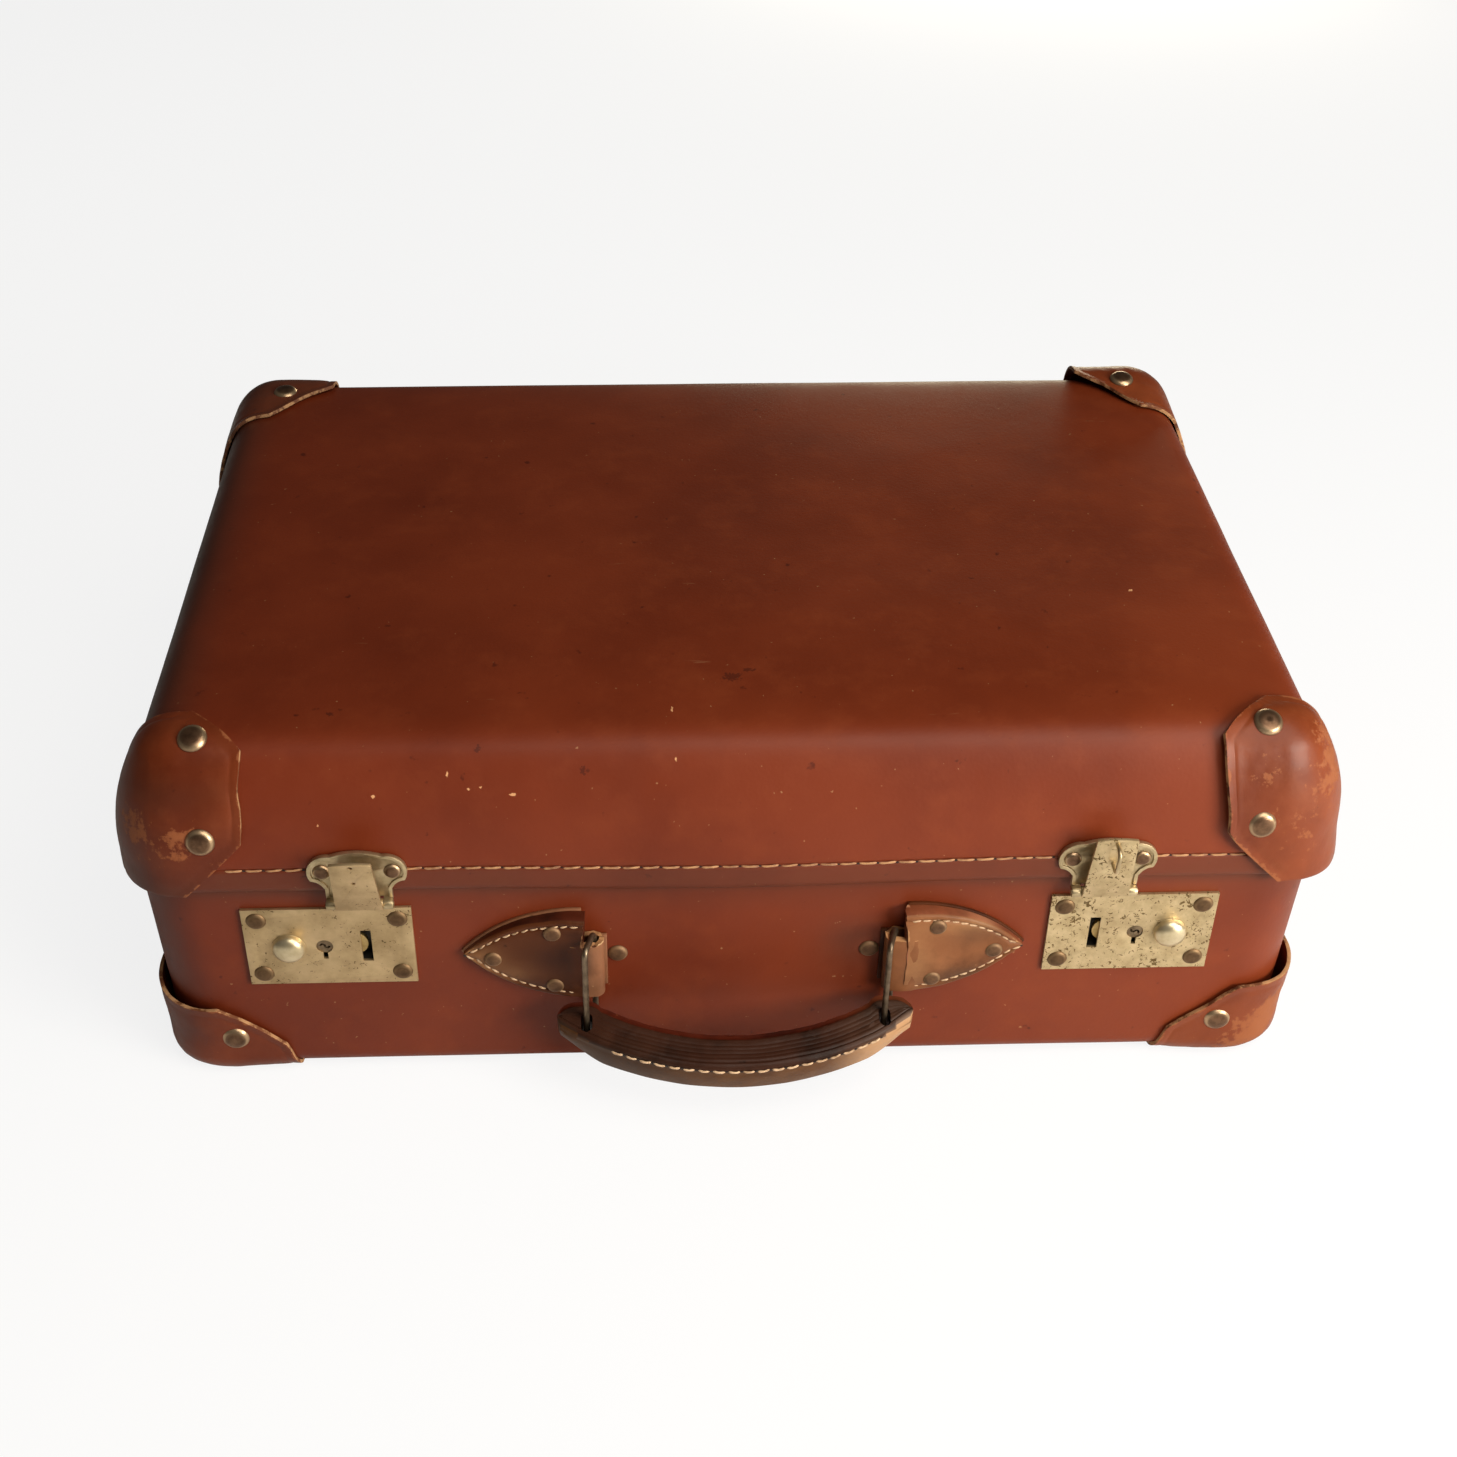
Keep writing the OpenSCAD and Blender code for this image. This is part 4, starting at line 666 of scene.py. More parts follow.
cap("base_cap_front_left", 2.2, {1: (0.7, 4)}, [((222, 169, 12), 16, 0.3)],
    [((245, 166, 44), (30, 30, 17), (2.6, 2.4, 0)), ((243, 166, 10), (26, 26, 20), (2.4, 3.0, 0)),
     ((226, 169, 40), (14, 6, 9), (0, 0, -2.0)), ((244, 166, 43), (24, 22, 10), (0, 0, -3.6))])
cap("base_cap_front_right", 6.1, {1: (0.9, 4)},
    [((236, 168, 20), 13, 0.78), ((222, 168, 8), 15, 0.62), ((242, 158, 30), 11, 0.66)],
    [((245, 164, 44), (26, 30, 15), (3.4, 2.6, 0)), ((243, 164, 10), (30, 30, 22), (3.0, 3.2, 0)),
     ((207, 169, 31), (8, 6, 8), (0.6, 0, -0.6)), ((246, 164, 44), (20, 22, 9), (0, 0, -1.6))])
cap("base_cap_back_left", 3.3, {1: (0.6, 4)}, (), [((245, 166, 44), (26, 26, 15), (1.4, 1.4, 0))])
cap("base_cap_back_right", 8.4, {1: (0.6, 4)}, (), [((245, 166, 44), (26, 26, 15), (1.2, 1.2, 0))])
print("caps made")


# the shapes that repeat, unit rivets and stitches, are set out on points by one tree
def unitShape(name, rings, ends, angle):
    verts, faces = loft(rings, *ends)
    mesh = meshFrom(name, [tuple(c / 1000 for c in v) for v in verts], faces, angle)
    return bpy.data.objects.new(name, mesh)


def lathe(name, segments, *profile):
    rings = [[(r * cos(a), r * sin(a), z) for a in turns(segments)] for r, z in profile]
    obj = unitShape(name, rings, [(0, 0, profile[0][1]), (0, 0, profile[-1][1])], 50)
    # a paler ring near the rim of each shape; on the rivet heads it is rubbed metal and a painted highlight
    paint(obj.data, "worn", [0.9 * bell(math.hypot(*v.co.xy) * 1000 - 0.86, 0.13) for v in obj.data.vertices])
    return obj


def threadShape(name, length, radius):
    rings = []
    for i in range(11):
        t = i / 10
        r = radius * (0.35 + 0.65 * math.sqrt(max(0.0, 1 - abs(2 * t - 1) ** 3)))
        z = radius * 0.75 * (1 - (2 * t - 1) ** 2) - radius * 0.25
        lay = [(a, r * (1 + 0.13 * cos(2 * a + 9 * t))) for a in turns(10)]
        rings.append([((t - 0.5) * length, 1.1 * w * cos(a), z + 0.8 * w * sin(a)) for a, w in lay])
    return unitShape(name, rings, [(s * (length / 2 + radius * 0.2), 0, -radius * 0.3) for s in sides], 60)


def makeSetOutTree():
    tree = bpy.data.node_groups.new("setOut", "GeometryNodeTree")
    sockets = {}
    for label, kind in (("Points", "Geometry"), ("Shape", "Object"), ("Turn Jitter", "Float"),
                        ("Size Jitter", "Float"), ("Seed", "Int"), ("Finish", "Material")):
        sockets[label] = tree.interface.new_socket(name=label, in_out="INPUT",
                                                   socket_type="NodeSocket" + kind).identifier
    tree.interface.new_socket(name="Geometry", in_out="OUTPUT", socket_type="NodeSocketGeometry")
    add, maths, *_ = nodesOf(tree)
    gi = add("NodeGroupInput").outputs

    def named(label, kind="FLOAT_VECTOR"):
        return add("GeometryNodeInputNamedAttribute", data_type=kind, Name=label).outputs["Attribute"]

    along = add("FunctionNodeAlignRotationToVector", axis="X", Vector=named("along")).outputs[0]
    turned = add("FunctionNodeAlignRotationToVector", axis="Z", pivot_axis="X", Rotation=along,
                 Vector=named("outward")).outputs[0]
    spin = add("FunctionNodeRandomValue", (-0.25, -1, -1), (0.25, 1, 1), data_type="FLOAT_VECTOR",
               Seed=gi["Seed"]).outputs[0]
    spread = add("ShaderNodeVectorMath", spin, operation="SCALE", Scale=gi["Turn Jitter"]).outputs[0]
    jitter = add("FunctionNodeEulerToRotation", spread).outputs[0]
    both = add("FunctionNodeRotateRotation", turned, jitter, rotation_space="LOCAL").outputs[0]
    grown = add("FunctionNodeRandomValue", None, None, maths("SUBTRACT", 1.0, gi["Size Jitter"]),
                maths("ADD", 1.0, gi["Size Jitter"]), data_type="FLOAT", Seed=gi["Seed"]).outputs[1]
    shape = add("GeometryNodeObjectInfo", transform_space="ORIGINAL", Object=gi["Shape"]).outputs["Geometry"]
    inst = add("GeometryNodeInstanceOnPoints", Points=gi["Points"], Instance=shape, Rotation=both,
               Scale=maths("MULTIPLY", grown, named("size", "FLOAT"))).outputs[0]
    real = add("GeometryNodeRealizeInstances", inst).outputs[0]
    add("NodeGroupOutput", add("GeometryNodeSetMaterial", Geometry=real, Material=gi["Finish"]).outputs[0])
    return tree, sockets


setOutTree, setOutSockets = makeSetOutTree()


# spots are (place, along, outward, size) in mm
def setOut(name, spots, shape, material, body, slotName, *nodes, turn=0.0, vary=0.0, seed=1):
    mesh = bpy.data.meshes.new(name)
    mesh.from_pydata([place(s[0]) for s in spots], [], [])
    for index, label in ((1, "along"), (2, "outward")):
        layer = mesh.attributes.new(label, "FLOAT_VECTOR", "POINT")
        layer.data.foreach_set("vector", [c for s in spots for c in Vector(s[index]).normalized()])
    paint(mesh, "size", [s[3] for s in spots])
    obj = linked(name, mesh)
    mod = obj.modifiers.new("setOut", "NODES")
    mod.node_group = setOutTree
    for label, value in (("Shape", shape), ("Turn Jitter", turn), ("Size Jitter", vary), ("Seed", seed),
                         ("Finish", mats[material])):
        mod[setOutSockets[label]] = value
    applied(obj, 50)
    held(obj, body, slotName, *nodes)


capRivet = lathe("capRivet", 40, (0.0, 0.40), (0.3, 0.39), (0.52, 0.365), (0.68, 0.32), (0.80, 0.26),
                 (0.90, 0.17), (0.97, 0.07), (1.0, 0.02), (1.0, -0.04), (0.97, -0.08))
flatRivet = lathe("flatRivet", 36, (0.0, 0.30), (0.35, 0.29), (0.62, 0.25), (0.82, 0.18), (0.94, 0.08),
                  (1.0, 0.0), (1.0, -0.1))
rivetTail = lathe("rivetTail", 24, (0.0, -0.30), (0.5, -0.29), (0.85, -0.23), (1.0, -0.12), (1.0, 0.05))
# dark discs at the needle holes: painted shade inside the holes
needleHole = lathe("needleHole", 12, (0.0, 0.05), (0.5, 0.05), (0.8, 0.03), (1.0, -0.02), (1.0, -0.2))
rimStitch, smallStitch, gripStitch = [threadShape(*look) for look in (
    ("rimStitch", 7.0, 0.46), ("smallStitch", 3.5, 0.40), ("gripStitch", 4.9, 0.55))]
plateFront = -base["halfY"] - 1.5
forward = (0, -1, 0)
rivetAt = {"capX": 213, "topX": 214, "topBackY": 136.5, "baseZ": 23.5, "topAlong": 8, "wallUp": 19.5,
           "topOut": 2.2, "wallOut": 2.3, "tabIn": 9.8, "capSize": 6.0, "plateSize": 4.2, "haspSize": 3.6,
           "tailSize": 3.0}


def rivet(at, out, size=rivetAt["capSize"]):
    return at, (1, 0, 0), out, size


def lidRivets():
    found, rear = [], {-1: (2.6, (0, -0.03, 1)), 1: (5.4, (0.12, -0.16, 1))}  # the back caps bulge unevenly
    topA, wallA = math.asin(rivetAt["topAlong"] / topR), math.asin(rivetAt["wallUp"] / case["lowR"])
    topCap, wallCap = topR + rivetAt["topOut"], case["lowR"] + rivetAt["wallOut"]
    topY, wallY = case["reach"] - case["halfY"], case["halfY"] - case["lowR"]
    for side in sides:
        raised, tilt = rear[side]
        found.append(rivet((side * rivetAt["topX"], topY - topCap * sin(topA), topCentreZ + topCap * cos(topA)),
                           (0, -sin(topA), cos(topA))))
        found.append(rivet((side * rivetAt["topX"], rivetAt["topBackY"], case["flat"] + raised), tilt))
        found += [rivet((side * rivetAt["capX"], f * (wallY + wallCap * cos(wallA)), edgeZ + wallCap * sin(wallA)),
                        (0, f * cos(wallA), sin(wallA))) for f in sides]
    return found


lidSpots = lidRivets()
baseSpots = [rivet((s * rivetAt["capX"], f * (base["halfY"] + 2.2), rivetAt["baseZ"]), (0, f, 0))
             for s in sides for f in sides]
lockSpots = [rivet((s * (132.5 + u), plateFront, fit["plateZ"] + v), forward, rivetAt["plateSize"])
             for s in sides for u in (6, 64) for v in (-14.8, 14.8)]
haspSpots = [rivet((s * fit["slotX"] + u * 14.3, -case["halfY"] - 1.2, fit["hingeZ"] + 15.8), forward,
                   rivetAt["haspSize"]) for s in sides for u in sides]
tabX = fit["ringHalf"] - rivetAt["tabIn"]
tabSpots = [rivet((fit["fittingX"] + s * tabX, -base["halfY"], fit["leafZ"] - 4), forward,
                  rivetAt["plateSize"]) for s in sides]
setOut("lidCapRivets", lidSpots, capRivet, "rivetMetal", "lid", "rivet_metal", "lid_cap_rivets")
setOut("baseCapRivets", baseSpots, capRivet, "rivetMetal", "base", "rivet_metal", "base_cap_rivets")
setOut("lockRivets", lockSpots, flatRivet, "rivetBrown", "base", "rivet_metal", "lock_rivets")
setOut("haspRivets", haspSpots, capRivet, "rivetMetal", "lid", "rivet_metal", "hasp_rivets")


# the clenched tails inside, seen when the case is open
def tailsOf(spots, depth):
    return [rivet(Vector(at) - Vector(out) * depth, out, rivetAt["tailSize"]) for at, along, out, size in spots]


backTops = [rivet((s * rivetAt["topX"], rivetAt["topBackY"], case["flat"] + 2.2), (0, 0, 1)) for s in sides]
lidTails = tailsOf([r for r in lidSpots if r[0][1] < 136 or r[0][2] < 168] + backTops, 4.0)
baseTails = tailsOf(baseSpots, 5.0) + tailsOf(lockSpots, 4.3) + tailsOf(tabSpots, 2.8)
setOut("lidTails", lidTails, rivetTail, "rivetMetal", "lid", "rivet_metal")
setOut("baseTails", baseTails, rivetTail, "rivetMetal", "base", "rivet_metal")

# the stitched row round the rim, left out under the caps, the hasp plates and the hinges
# front and back: where a cap begins in y, then the middle and half width of a plate in x
rimSewing = {"up": 11.5, "pitch": 8.0, "start": 2.0, "capX": 209.5, "plateY": 170,
             "front": (144, fit["slotX"], 21.5), "back": (129, 150, 22)}


def rimRow():
    ring = roundRing(case["halfX"], case["halfY"], case["cornerR"], (40, 200, 140))
    ring.append(ring[0])
    spots = []
    for k, way, size in strides(ring, rimSewing["start"], rimSewing["pitch"]):
        a, b = ring[k], ring[k + 1]
        x, y = lerp(a[0], b[0], way / size), lerp(a[1], b[1], way / size)
        capY, plateX, gap = rimSewing["front" if y < 0 else "back"]
        underCap = abs(x) > rimSewing["capX"] and abs(y) > capY
        underPlate = abs(y) > rimSewing["plateY"] and abs(abs(x) - plateX) < gap
        if not underCap and not underPlate:
            d = Vector((b[0] - a[0], b[1] - a[1], 0)).normalized()
            spots.append((Vector(bowed((x, y, case["rim"] + rimSewing["up"]))), d, Vector((d.y, -d.x, 0))))
    return spots


rimSpots = rimRow()
setOut("rimStitches", [(p + n * -0.12, d + Vector((0, 0, 0.05)), n, 1.0) for p, d, n in rimSpots], rimStitch,
       "rimThread", "lid", "case_leather", turn=0.05, vary=0.06, seed=5)
setOut("rimHoles", [(p + d * 4.0 + n * -0.02, d + Vector((0, 0, 0.6)), n, 0.55) for p, d, n in rimSpots],
       needleHole, "needleHole", "lid", "case_leather", seed=6, vary=0.15)
print("rim stitches:", len(rimSpots))


# pieces taken from the frame, with their edges eased
def eased(node, width, material, slotName="lock_metal", name=None):
    mesh = frame["nodes"][node].data.copy()
    mesh.name = name or camel(node)
    mesh.materials.clear()
    mesh.materials.append(mats[material])
    bm = bmesh.new()
    bm.from_mesh(mesh)
    bmesh.ops.remove_doubles(bm, verts=bm.verts, dist=0.000005)
    bmesh.ops.dissolve_limit(bm, angle_limit=radians(1.0), verts=bm.verts, edges=bm.edges)
    bm.to_mesh(mesh)
    bm.free()
    obj = linked(name or camel(node), mesh)
    bevelled(obj, width, 35)
    applied(obj, 40)
    held(obj, bodyOf[node], slotName, node)


easedMetal = {  # the width of the eased edge, then the finish of the left one and of the right one
    "lock_plate": (0.45, "lockPlateSmooth", "lockPlatePitted"), "hasp_plate": (0.40, "hardware"),
    "hasp_flap": (0.30, "lockPlateSmooth", "lockPlatePitted"), "key_disc": (0.12, "keyMetal"),
    "bolt": (0.15, "boltBrass"), "hinge_lid_leaf": (0.2, "hardware"), "hinge_base_leaf": (0.2, "hardware")}
for kind, (width, *finishes) in easedMetal.items():
    eased(kind + "_left", width, finishes[0])
    eased(kind + "_right", width, finishes[-1])

button = {"radius": 7.0, "high": 5.0, "power": 2.5, "beside": 32.2, "segments": 56}


def domedButton(node, side):
    high = [button["high"] * (1 - (1 - k / 16) ** 2) for k in range(16)]
    profile = [(6.0, -0.02), (7.02, -0.02)]
    profile += [(button["radius"] * math.sqrt(1 - (h / button["high"]) ** button["power"]), h) for h in high]
    x = side * (fit["slotX"] + button["beside"])
    rings = [[(x + r * cos(a), plateFront - 0.1 - h, fit["plateZ"] + r * sin(a))
              for a in turns(button["segments"])] for r, h in profile + [(0.7, 4.995)]]
    verts, faces = loft(rings, (x, plateFront - 0.08, fit["plateZ"]), (x, plateFront - 5.1, fit["plateZ"]))
    held(pieceFrom(camel(node), verts, faces, ["buttonMetal"], 60), bodyOf[node], "lock_metal", node)


domedButton("button_left", -1)
domedButton("button_right", 1)
print("metal fittings eased")

for material, nodes in (("frameWood", "base_frame lid_frame"), ("liningPaper", "base_lining lid_lining"),
                        ("caseSteel", "lock_case_left lock_case_right"), ("wireMetal", "ring_left ring_right"),
                        ("hardware", "hasp_staple hasp_pins hinge_pins"),
                        ("rivetMetal", "hinge_base_rivets hinge_lid_rivets")):
    for node in nodes.split():
        for s in frame["nodes"][node].material_slots:
            s.material = mats[material]

# handle mounts: u runs outwards from the ring, v up; stains (with painted shade) and pale spots (with painted
# highlight) are (u, v, width, height, strength)
leaf = {"halfW": 21.5, "arc": 61.0, "midU": 8.0, "startU": 5.0, "endU": 54.5, "thick": 7.5, "tip": 2.5,
        "backing": 1.5, "columns": 50, "sewnIn": 3.1, "pitch": 4.2,
        # the left leaf's first stain, by the ring, is partly a painted shadow of the ring; the right leaf's second
        # pale spot, along its top, is a painted highlight
        "stain": {-1: ((13, 1, 14, 10, 0.8), (20, -15, 14, 4, 0.5)),
                  1: ((30, -14, 18, 4, 0.4), (34, 8, 10, 5, 0.35))},
        "pale": {-1: ((48, -2, 9, 8, 0.5), (34, -9, 7, 5, 0.3)),
                 1: ((8, -6, 7, 12, 0.35), (34, 14, 22, 4, 0.4))}}
fold = {"outer": 4.2, "inner": 2.25, "out": 4.5, "low": 50.2, "high": 79.2, "levels": 18}


def leafHalf(u):
    inside = leaf["arc"] ** 2 - (u - leaf["midU"]) ** 2
    return max(0.0, math.sqrt(max(0.0, inside)) - (leaf["arc"] - leaf["halfW"]))


def leafPoint(side, u, v, out):
    return (fit["fittingX"] + side * (fit["ringHalf"] + u), -base["halfY"] - out, fit["leafZ"] + v)


def leafPlace(side, p):
    return side * (p[0] - fit["fittingX"]) - fit["ringHalf"], p[2] - fit["leafZ"]


def leafSurface(u, v):
    w = max(0.3, leafHalf(u))
    k = min(1.0, w / 6.0)
    d = max(0.0, w - abs(v)) / k
    along = (u - leaf["startU"]) / (leaf["endU"] - leaf["startU"])
    out = leaf["backing"] + lerp(leaf["thick"], leaf["tip"], along)
    out -= 1.0 * k * max(0.0, 1 - d / 1.3) ** 2 + 0.6 * k * bell(d - leaf["sewnIn"], 0.65)
    return out + (0.5 * k * (1 - (v / max(w - 4 * k, 0.5)) ** 2) if d > 4 else 0)


def leafPaint(side, p, kind):
    at = leafPlace(side, p)
    return sum(power * blob(at, (a, b), (c, d)) for a, b, c, d, power in leaf[kind][side])


def leafBody(name, node, side, seed, hide, sideHide):
    steps = [0, 0.3, 0.7, 1.2, 1.8, 2.3, 2.7, 3.1, 3.5, 3.9, 4.4]
    columns, backing, verts = leaf["columns"], leaf["backing"], []
    for i in range(columns + 1):
        u = lerp(leaf["startU"], leaf["endU"] - 0.05, 1 - (1 - i / columns) ** 1.6)
        w = max(0.3, leafHalf(u))
        k = min(1.0, w / 6.0)
        half = [w - d * k for d in steps] + [(w - steps[-1] * k) * f for f in (0.8, 0.55, 0.28)]
        waist = lerp(backing, leafSurface(u, w), 0.55)
        pts = [(w, backing - 0.05), (w + 0.12 * k, waist)]
        pts += [(v, leafSurface(u, v)) for v in half + [0.0] + [-a for a in reversed(half)]]
        pts += [(-w - 0.12 * k, waist), (-w, backing - 0.05)]
        for v, out in pts:
            q = leafPoint(side, u, v, out)
            lift = wobble(q, 14, 0.3, seed) + wobble(q, 4, 0.1, seed)
            torn = wobble(q, 3, 1.2, seed) - side * 1.2 * ease((v - 12) / 8) if i == 0 else 0
            verts.append((q[0] + torn, q[1] - lift * (out > backing + 1), q[2] + wobble(q, 9, 0.25, seed)))
    n = len(pts)
    faces = gridFaces(columns + 1, n) + [tuple(range(n)), tuple((columns * n + j) for j in reversed(range(n)))]
    faceMats = [0 if 2 <= j <= n - 4 else 1 for i in range(columns) for j in range(n)] + [1, 1]
    worn = []
    for p in verts:
        u, v = leafPlace(side, p)
        worn.append(min(1.0, 0.3 * bell(leafHalf(u) - abs(v) - 0.6, 1.0) + 0.3 * bell(u - 53, 4)
                        + 0.8 * bell(u - 5, 1.1) * ease((v - 6) / 3)))
    held(pieceFrom(name, verts, faces, [hide, sideHide], 48, faceMats, worn=worn,
                   soiled=[leafPaint(side, p, "stain") for p in verts],
                   bleached=[leafPaint(side, p, "pale") for p in verts]), "base", "mount_leather", node)


# the strap comes out of the leaf's face, goes round the ring and back underneath, torn at its upper end
def leafFold(name, side, seed, hide, loopHide):
    round1 = [(-sin(radians(a)), cos(radians(a))) for a in range(0, 181, 15)]
    levels, verts = fold["levels"], []
    for i in range(levels + 1):
        v = lerp(fold["low"], fold["high"], i / levels) - fit["leafZ"]
        curve = [(14, leafSurface(14, v) - 0.6), (11, leafSurface(11, v) - 0.1), (8, leafSurface(8, v) + 0.12),
                 (5.5, lerp(leafSurface(5.5, v), 8.9, 0.4)), (2.6, 9.05)]
        curve += [(fold["outer"] * s, fold["out"] + fold["outer"] * c) for s, c in round1]
        curve += [(4.4, 0.35), (4.4, 2.1)]
        curve += [(fold["inner"] * s, fold["out"] + fold["inner"] * c) for s, c in reversed(round1)]
        curve += [(2.6, 6.8), (5.5, 6.7), (8, 6.5), (11, 6.3), (14, 6.0)]
        for u, out in curve:
            q = leafPoint(side, u, v, max(0.12, out))
            ragged = wobble((q[0], q[1], 0), 2.6, 2.6, seed)
            ragged += 0.5 * abs(wobble((q[0], q[1], 9), 1.2, 1.5, seed))
            verts.append((q[0], q[1] - (wobble(q, 7, 0.35, seed) if out > 4 and u < 9 else 0),
                          q[2] + (ragged if i == levels else 0)))
    n = len(curve)
    faces = gridFaces(levels + 1, n)
    for end in (0, levels * n):  # both ends are a strip across the strap's thickness
        faces += [(end + j, end + j + 1, end + n - 2 - j, end + n - 1 - j) for j in range(n // 2 - 1)]
    loop = [int(4 <= j % n < 16) for j in range(levels * n)] + [0] * (n - 2)
    soiled = [leafPaint(side, p, "stain") * (leafPlace(side, p)[0] > 1) for p in verts]
    held(pieceFrom(name, verts, faces, [hide, loopHide], 50, loop, soiled=soiled,
                   worn=[0.85 * bell(p[2] - fold["high"] - 0.5, 1.5) for p in verts]), "base", "mount_leather")


# stitches along both edges, meeting at the tip
def leafSewing(name, side, seed):
    spots, holes, outward = [], [], Vector((side * 0.1, -1, 0))
    for edge in (1, -1):
        trail = []
        for i in range(200):
            u = lerp(7.0 if edge > 0 else 9.0, leaf["endU"] - 2.0, i / 199)
            v = edge * max(0.2, leafHalf(u) - leaf["sewnIn"] * min(1.0, leafHalf(u) / 6))
            trail.append(Vector(leafPoint(side, u, v, leafSurface(u, v) + 0.05)))
        for k, way, size in strides(trail, 1.0, leaf["pitch"]):
            d = (trail[k + 1] - trail[k]).normalized()
            spots.append((trail[k] + d * way, d + Vector((0, 0, 0.16 * side * edge)), outward, 1.0))
            holes.append((trail[k] + d * (way + 2.3) + Vector((0, 0.1, 0)), d, outward, 0.62))
    setOut(name + "Stitches", spots, smallStitch, "thread", "base", "mount_leather", turn=0.09, vary=0.08,
           seed=int(seed * 7))
    setOut(name + "Holes", holes, needleHole, "needleHole", "base", "mount_leather", vary=0.15,
           seed=int(seed * 5))


# the right mount takes the lit copy of the side leather
for name, node, side, seed, hide, sideHide, loopHide in (
        ("mountLeft", "handle_mount_left", -1, 1.4, "mountHide", "mountSide", "tabHide"),
        ("mountRight", "handle_mount_right", 1, 3.6, "mountPale", "mountSidePale", "mountPale")):
    leafBody(name, node, side, seed, hide, sideHide)
    leafFold(name + "Fold", side, seed, hide, loopHide)
    leafSewing(name, side, seed)
eased("handle_backing_left", 0.35, "tabHide", "mount_leather", "backingLeft")
# painted shade: the right backing takes the darker leather of the left leaf, as it lies in shade
eased("handle_backing_right", 0.35, "mountHide", "mount_leather", "backingRight")
mountSpots = []
for side, tab in zip(sides, tabSpots):
    mountSpots += [rivet(leafPoint(side, u, v, leafSurface(u, v) - 0.15), (side * 0.1, -1, 0), 3.8)
                   for u, v in ((42, -1), (17, 14.5), (16.5, -14.5))] + [tab]
setOut("mountRivets", mountSpots, capRivet, "rivetDark", "base", "rivet_metal", "handle_mount_rivets")
print("mounts made")

# handle: x runs along it, s outwards from the case, n across its thickness
grip = {"endOut": 9.2, "endIn": 9.4, "rise": 23.6, "inner": 7.0, "half": 60.0, "lobeR": 7.2, "lobeS": -3.7,
        "over": 12.4, "high": 16.0, "droop": 15.0, "swing": 16.5, "ringReach": 13, "below": 68.2,
        "eyeR": 2.45, "eyeSlot": 1.85, "sewn": (-51, 60), "sewnDown": 2.5, "sewnRise": 14.4, "pitch": 6.2}
swing, droop = radians(grip["swing"]), radians(grip["droop"])
gripAt = (fit["fittingX"] - grip["ringReach"] * sin(swing),
          -base["halfY"] - fold["out"] - grip["ringReach"] * cos(swing), case["rim"] - grip["below"])


def arcAt(x, rise):
    r = (grip["half"] ** 2 + rise ** 2) / (2 * rise)
    return math.sqrt(max(0.0, r * r - x * x)) - (r - rise)


def gripEdges(x):
    x = abs(x)
    outer = grip["endOut"] + arcAt(x, grip["rise"] - grip["endOut"]) if x < 74 else -99
    inner = -grip["endIn"] + arcAt(x, grip["inner"] + grip["endIn"]) if x < fit["ringHalf"] else 99
    lobeEnd = fit["ringHalf"] + grip["over"] - grip["lobeR"]
    inside = grip["lobeR"] ** 2 - (x - max(fit["ringHalf"], min(lobeEnd, x))) ** 2
    if x > 56 and inside > 0:
        outer = max(outer, grip["lobeS"] + math.sqrt(inside))
        inner = min(inner, grip["lobeS"] - math.sqrt(inside))
    return outer, inner


def drooped(x, s, n):
    return (gripAt[0] + x, gripAt[1] - s * cos(droop) - n * sin(droop),
            gripAt[2] - s * sin(droop) + n * cos(droop))


# one ring of points (s, n, part): part 0 is the strap's face, 1 its pressed layers, 2 the worn inner layer
def gripSection(x):
    so, si = gripEdges(x)
    t = ease((abs(x) - 55) / 21)
    up, down = grip["high"] / 2 - 1.3 * t, -grip["high"] / 2 - 1.7 + 6.5 * t
    k = min(1.0, (so - si) / 9.0)
    e = lerp(2.2, 4.4 if x > 0 else 3.4, t) * k
    pts = [(so - d * e, up - drop, 0 if t > 0.15 + d and d < 0.5 else c)
           for d, drop, c in ((0, e, 0), (0.15, 0.62 * e, 1), (0.45, 0.25 * e, 1), (1.0, 0.02, 1))]
    pts += [(so - e - 0.5 * k, up - 0.05, 1), (so - e - 0.9 * k, up - 0.4 * k, 1), (so - e - 1.3 * k, up, 1)]
    start, end = so - e - 1.3 * k, si + 3.0 * k
    for j, depth in enumerate((0.08, 0.13, 0.06, 0.14, 0.09), 1):
        a = lerp(start, end, (j - 0.12) / 5.4)
        pts += [(a + 0.25 * k, up + 0.12 * k * sin(j), 1), (a, up - depth * k * (1 - 0.7 * t), 1),
                (a - 0.25 * k, up + 0.1 * k * cos(2 * j), 1)]
    pts += [(end, up - 0.1, 1), (end - 0.3 * k, up - 0.45 * k, 2), (si + 1.5 * k, up - 0.65 * k, 2),
            (si + 0.4 * k, up - 0.8 * k, 2), (si, up - 1.8 * k, 2), (si - 0.2 * k, lerp(up, down, 0.4), 2),
            (si - 0.2 * k, lerp(up, down, 0.7), 2), (si + 0.1 * k, down + 1.2 * k, 2),
            (si + 0.9 * k, down + 0.2 * k, 2), (lerp(si, so, 0.3), down, 1), (lerp(si, so, 0.6), down, 1)]
    pts += [(so - e + e * sin(radians(a)), down + e - e * cos(radians(a)), 0) for a in range(0, 91, 18)]
    return pts + [(so + 0.35 * k, lerp(down, up, 0.35), 0), (so + 0.45 * k, lerp(down, up, 0.55), 0),
                  (so + 0.25 * k, lerp(down, up, 0.7), 0), (so - 0.1 * k, up - 3.0 * k, 0)]


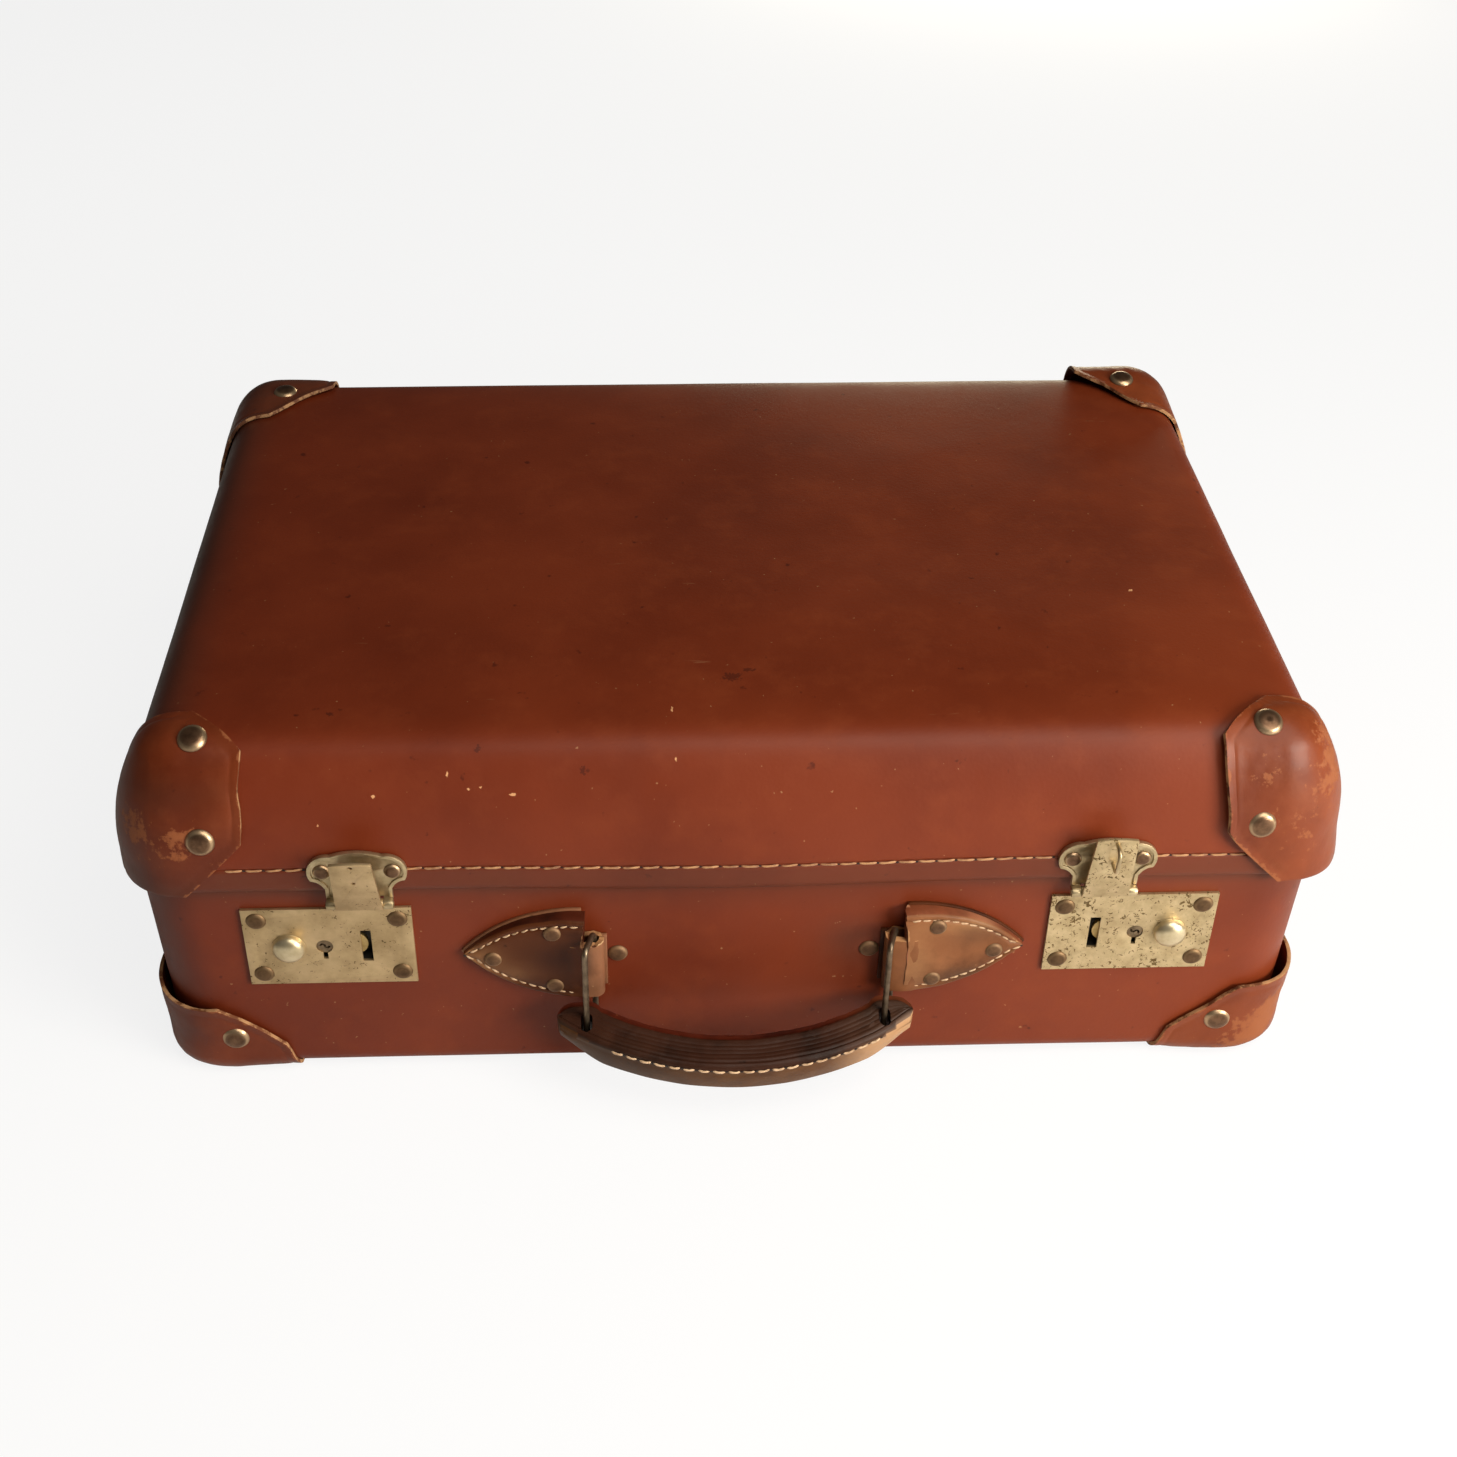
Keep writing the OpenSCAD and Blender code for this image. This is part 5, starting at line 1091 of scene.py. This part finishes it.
def makeHandle():
    end = fit["ringHalf"] + grip["over"] - 0.04
    xs = [math.copysign(1 - (1 - abs(t)) ** 1.35, t) * end for t in [-1 + 2 * i / 130 for i in range(131)]]
    verts, partsAt, worn, soiled, bleached = [], [], [], [], []
    for x in xs:
        pts = gripSection(x)
        partsAt.append([c for s, n, c in pts])
        for j, (s, n, c) in enumerate(pts):
            q = (x, s, n)
            s += wobble(q, 13, 0.28, 2.0) + (wobble(q, 3, 0.35, 6.0) if c == 2 and n > 4 else 0)
            n += wobble(q, 17, 0.35, 4.0) + (wobble(q, 4, 0.16, 6.0) if c == 1 else 0)
            verts.append(drooped(x, s, n))
            torn = 0.36 if c == 2 and j < 29 else 0.0
            worn.append(torn * (1 if abs(x) < 55 else 0.3) + 0.2 * (c == 0))
            # painted shade darkens the left of the strap's face; a painted highlight, with some fading, pales its
            # right end where the key light falls
            soiled.append(0.45 * ease((-x - 8) / 30) * (c == 0))
            bleached.append((0.95 * (c == 0) + 0.12) * ease((x - 34) / 30))
    n, last = len(partsAt[0]), len(verts)
    faces = gridFaces(len(xs), n) + [tuple(range(n)), tuple(last - 1 - j for j in range(n))]
    faceMats = [max(parts[j], parts[(j + 1) % n]) for parts in partsAt[:-1] for j in range(n)] + [0, 0]
    obj = pieceFrom("carryHandle", verts, faces, ["gripFace", "gripEdge", "gripInner"], 55, faceMats, worn=worn,
                    soiled=soiled, bleached=bleached)
    for side in sides:
        x = side * fit["ringHalf"]
        rings = [[drooped(x + grip["eyeR"] * cos(a), math.copysign(grip["eyeSlot"], sin(a) or -1)
                          + grip["eyeR"] * sin(a), level) for a in turns(32)] for level in (-14, 14)]
        verts, faces = loft(rings, drooped(x, 0, -14), drooped(x, 0, 14))
        cutAway(obj, pieceFrom("eye", verts, faces, ["gripEdge"]), 55)
    held(obj, "handle", "handle_leather", "handle_strap", "handle_core")


def handleSewing():
    xs = [lerp(*grip["sewn"], i / 399) for i in range(400)]
    trail = [Vector(drooped(x, gripEdges(x)[0], grip["high"] / 2 - grip["sewnDown"])) for x in xs]
    radius = (grip["half"] ** 2 + grip["sewnRise"] ** 2) / (2 * grip["sewnRise"])
    spots, holes = [], []
    for k, way, size in strides(trail, 1.0, grip["pitch"]):
        d = (trail[k + 1] - trail[k]).normalized()
        outLocal = Vector((xs[k] / radius, 1, 0)).normalized()
        o = Vector(drooped(*outLocal)) - Vector(gripAt)
        spots.append((trail[k] + o * 0.15, d, o, 1.0))
        holes.append((trail[k] + d * 3.1 + o * 0.12, d, o, 0.65))
    setOut("handleStitches", spots, gripStitch, "thread", "handle", "handle_leather", turn=0.1, vary=0.08,
           seed=12)
    setOut("handleHoles", holes, needleHole, "needleHole", "handle", "handle_leather", vary=0.15, seed=13)


makeHandle()
handleSewing()
print("handle made")

# camera, floor and light
shot = {"at": (-41.4654, -783.3320, 645.4904), "yaw": 0.0376705563, "pitch": 0.643208931, "roll": -0.0074329719,
        "lens": 49.2033, "shiftX": 0.02642}


def cameraTurn():
    yaw, pitch, roll = shot["yaw"], shot["pitch"], shot["roll"]
    ahead, right, up = Vector((sin(yaw), cos(yaw), 0)), Vector((cos(yaw), -sin(yaw), 0)), Vector((0, 0, 1))
    backward = sin(pitch) * up - cos(pitch) * ahead
    lifted = cos(pitch) * up + sin(pitch) * ahead
    return Matrix((cos(roll) * right - sin(roll) * lifted, sin(roll) * right + cos(roll) * lifted,
                   backward)).transposed().to_4x4()


camera = linked("camera", bpy.data.cameras.new("camera"))
camera.data.lens, camera.data.sensor_width, camera.data.sensor_fit = shot["lens"], 36.0, "HORIZONTAL"
camera.data.shift_x = shot["shiftX"]
camera.data.clip_start, camera.data.clip_end = 0.05, 30
camera.matrix_world = Matrix.Translation(place(shot["at"])) @ cameraTurn()
scene.camera = camera
scene.view_settings.view_transform = "Standard"


# the camera sees one shader and the light that falls on the case comes from the other
def splitByCamera(owner, output, plain, seen, share):
    owner.use_nodes = True
    owner.node_tree.nodes.clear()
    add, maths, *_ = nodesOf(owner.node_tree)
    ray = add("ShaderNodeLightPath").outputs["Is Camera Ray"]
    shaders = [add(kind, *values).outputs[0] for kind, *values in (plain, seen)]
    fac = ray if share == 1 else maths("MULTIPLY", ray, share)
    add(output, add("ShaderNodeMixShader", fac, *shaders).outputs[0])


scene.world = bpy.data.worlds.new("studio")
splitByCamera(scene.world, "ShaderNodeOutputWorld", ("ShaderNodeBackground", (1.0, 0.95, 0.88, 1), 0.06),
              ("ShaderNodeBackground", (1, 1, 1, 1), 1.0), 1)
floorMesh = bpy.data.meshes.new("floor")
floorMesh.from_pydata([(x, y, -0.0002) for x, y in ((-6, -6), (6, -6), (6, 6), (-6, 6))], [], [(0, 1, 2, 3)])
floorMesh.materials.append(bpy.data.materials.new("paleFloor"))
splitByCamera(floorMesh.materials[0], "ShaderNodeOutputMaterial",
              ("ShaderNodeBsdfDiffuse", (0.86, 0.86, 0.86, 1)), ("ShaderNodeEmission", (1, 1, 1, 1), 1.03), 0.82)
linked("floor", floorMesh)


def softLight(name, at, target, size, power, colour):
    data = bpy.data.lights.new(name, "AREA")
    data.shape, data.size, data.size_y = "RECTANGLE", size[0], size[1]
    data.energy, data.color = power, colour
    obj = linked(name, data)
    obj.location = at
    obj.rotation_euler = (Vector(target) - Vector(at)).to_track_quat("-Z", "Y").to_euler()


softLight("keyRight", (1.15, -1.05, 0.62), (0.0, -0.12, 0.10), (0.8, 0.6), 28, (1.0, 0.945, 0.85))
softLight("fillTop", (0.55, -0.75, 1.4), (0.0, -0.1, 0.1), (1.2, 0.9), 15, (1.0, 0.94, 0.84))
softLight("backStrip", (0.45, 1.6, 0.20), (0.15, 0.17, 0.15), (0.6, 0.16), 4.2, (1.0, 0.88, 0.62))
print("camera and light set")
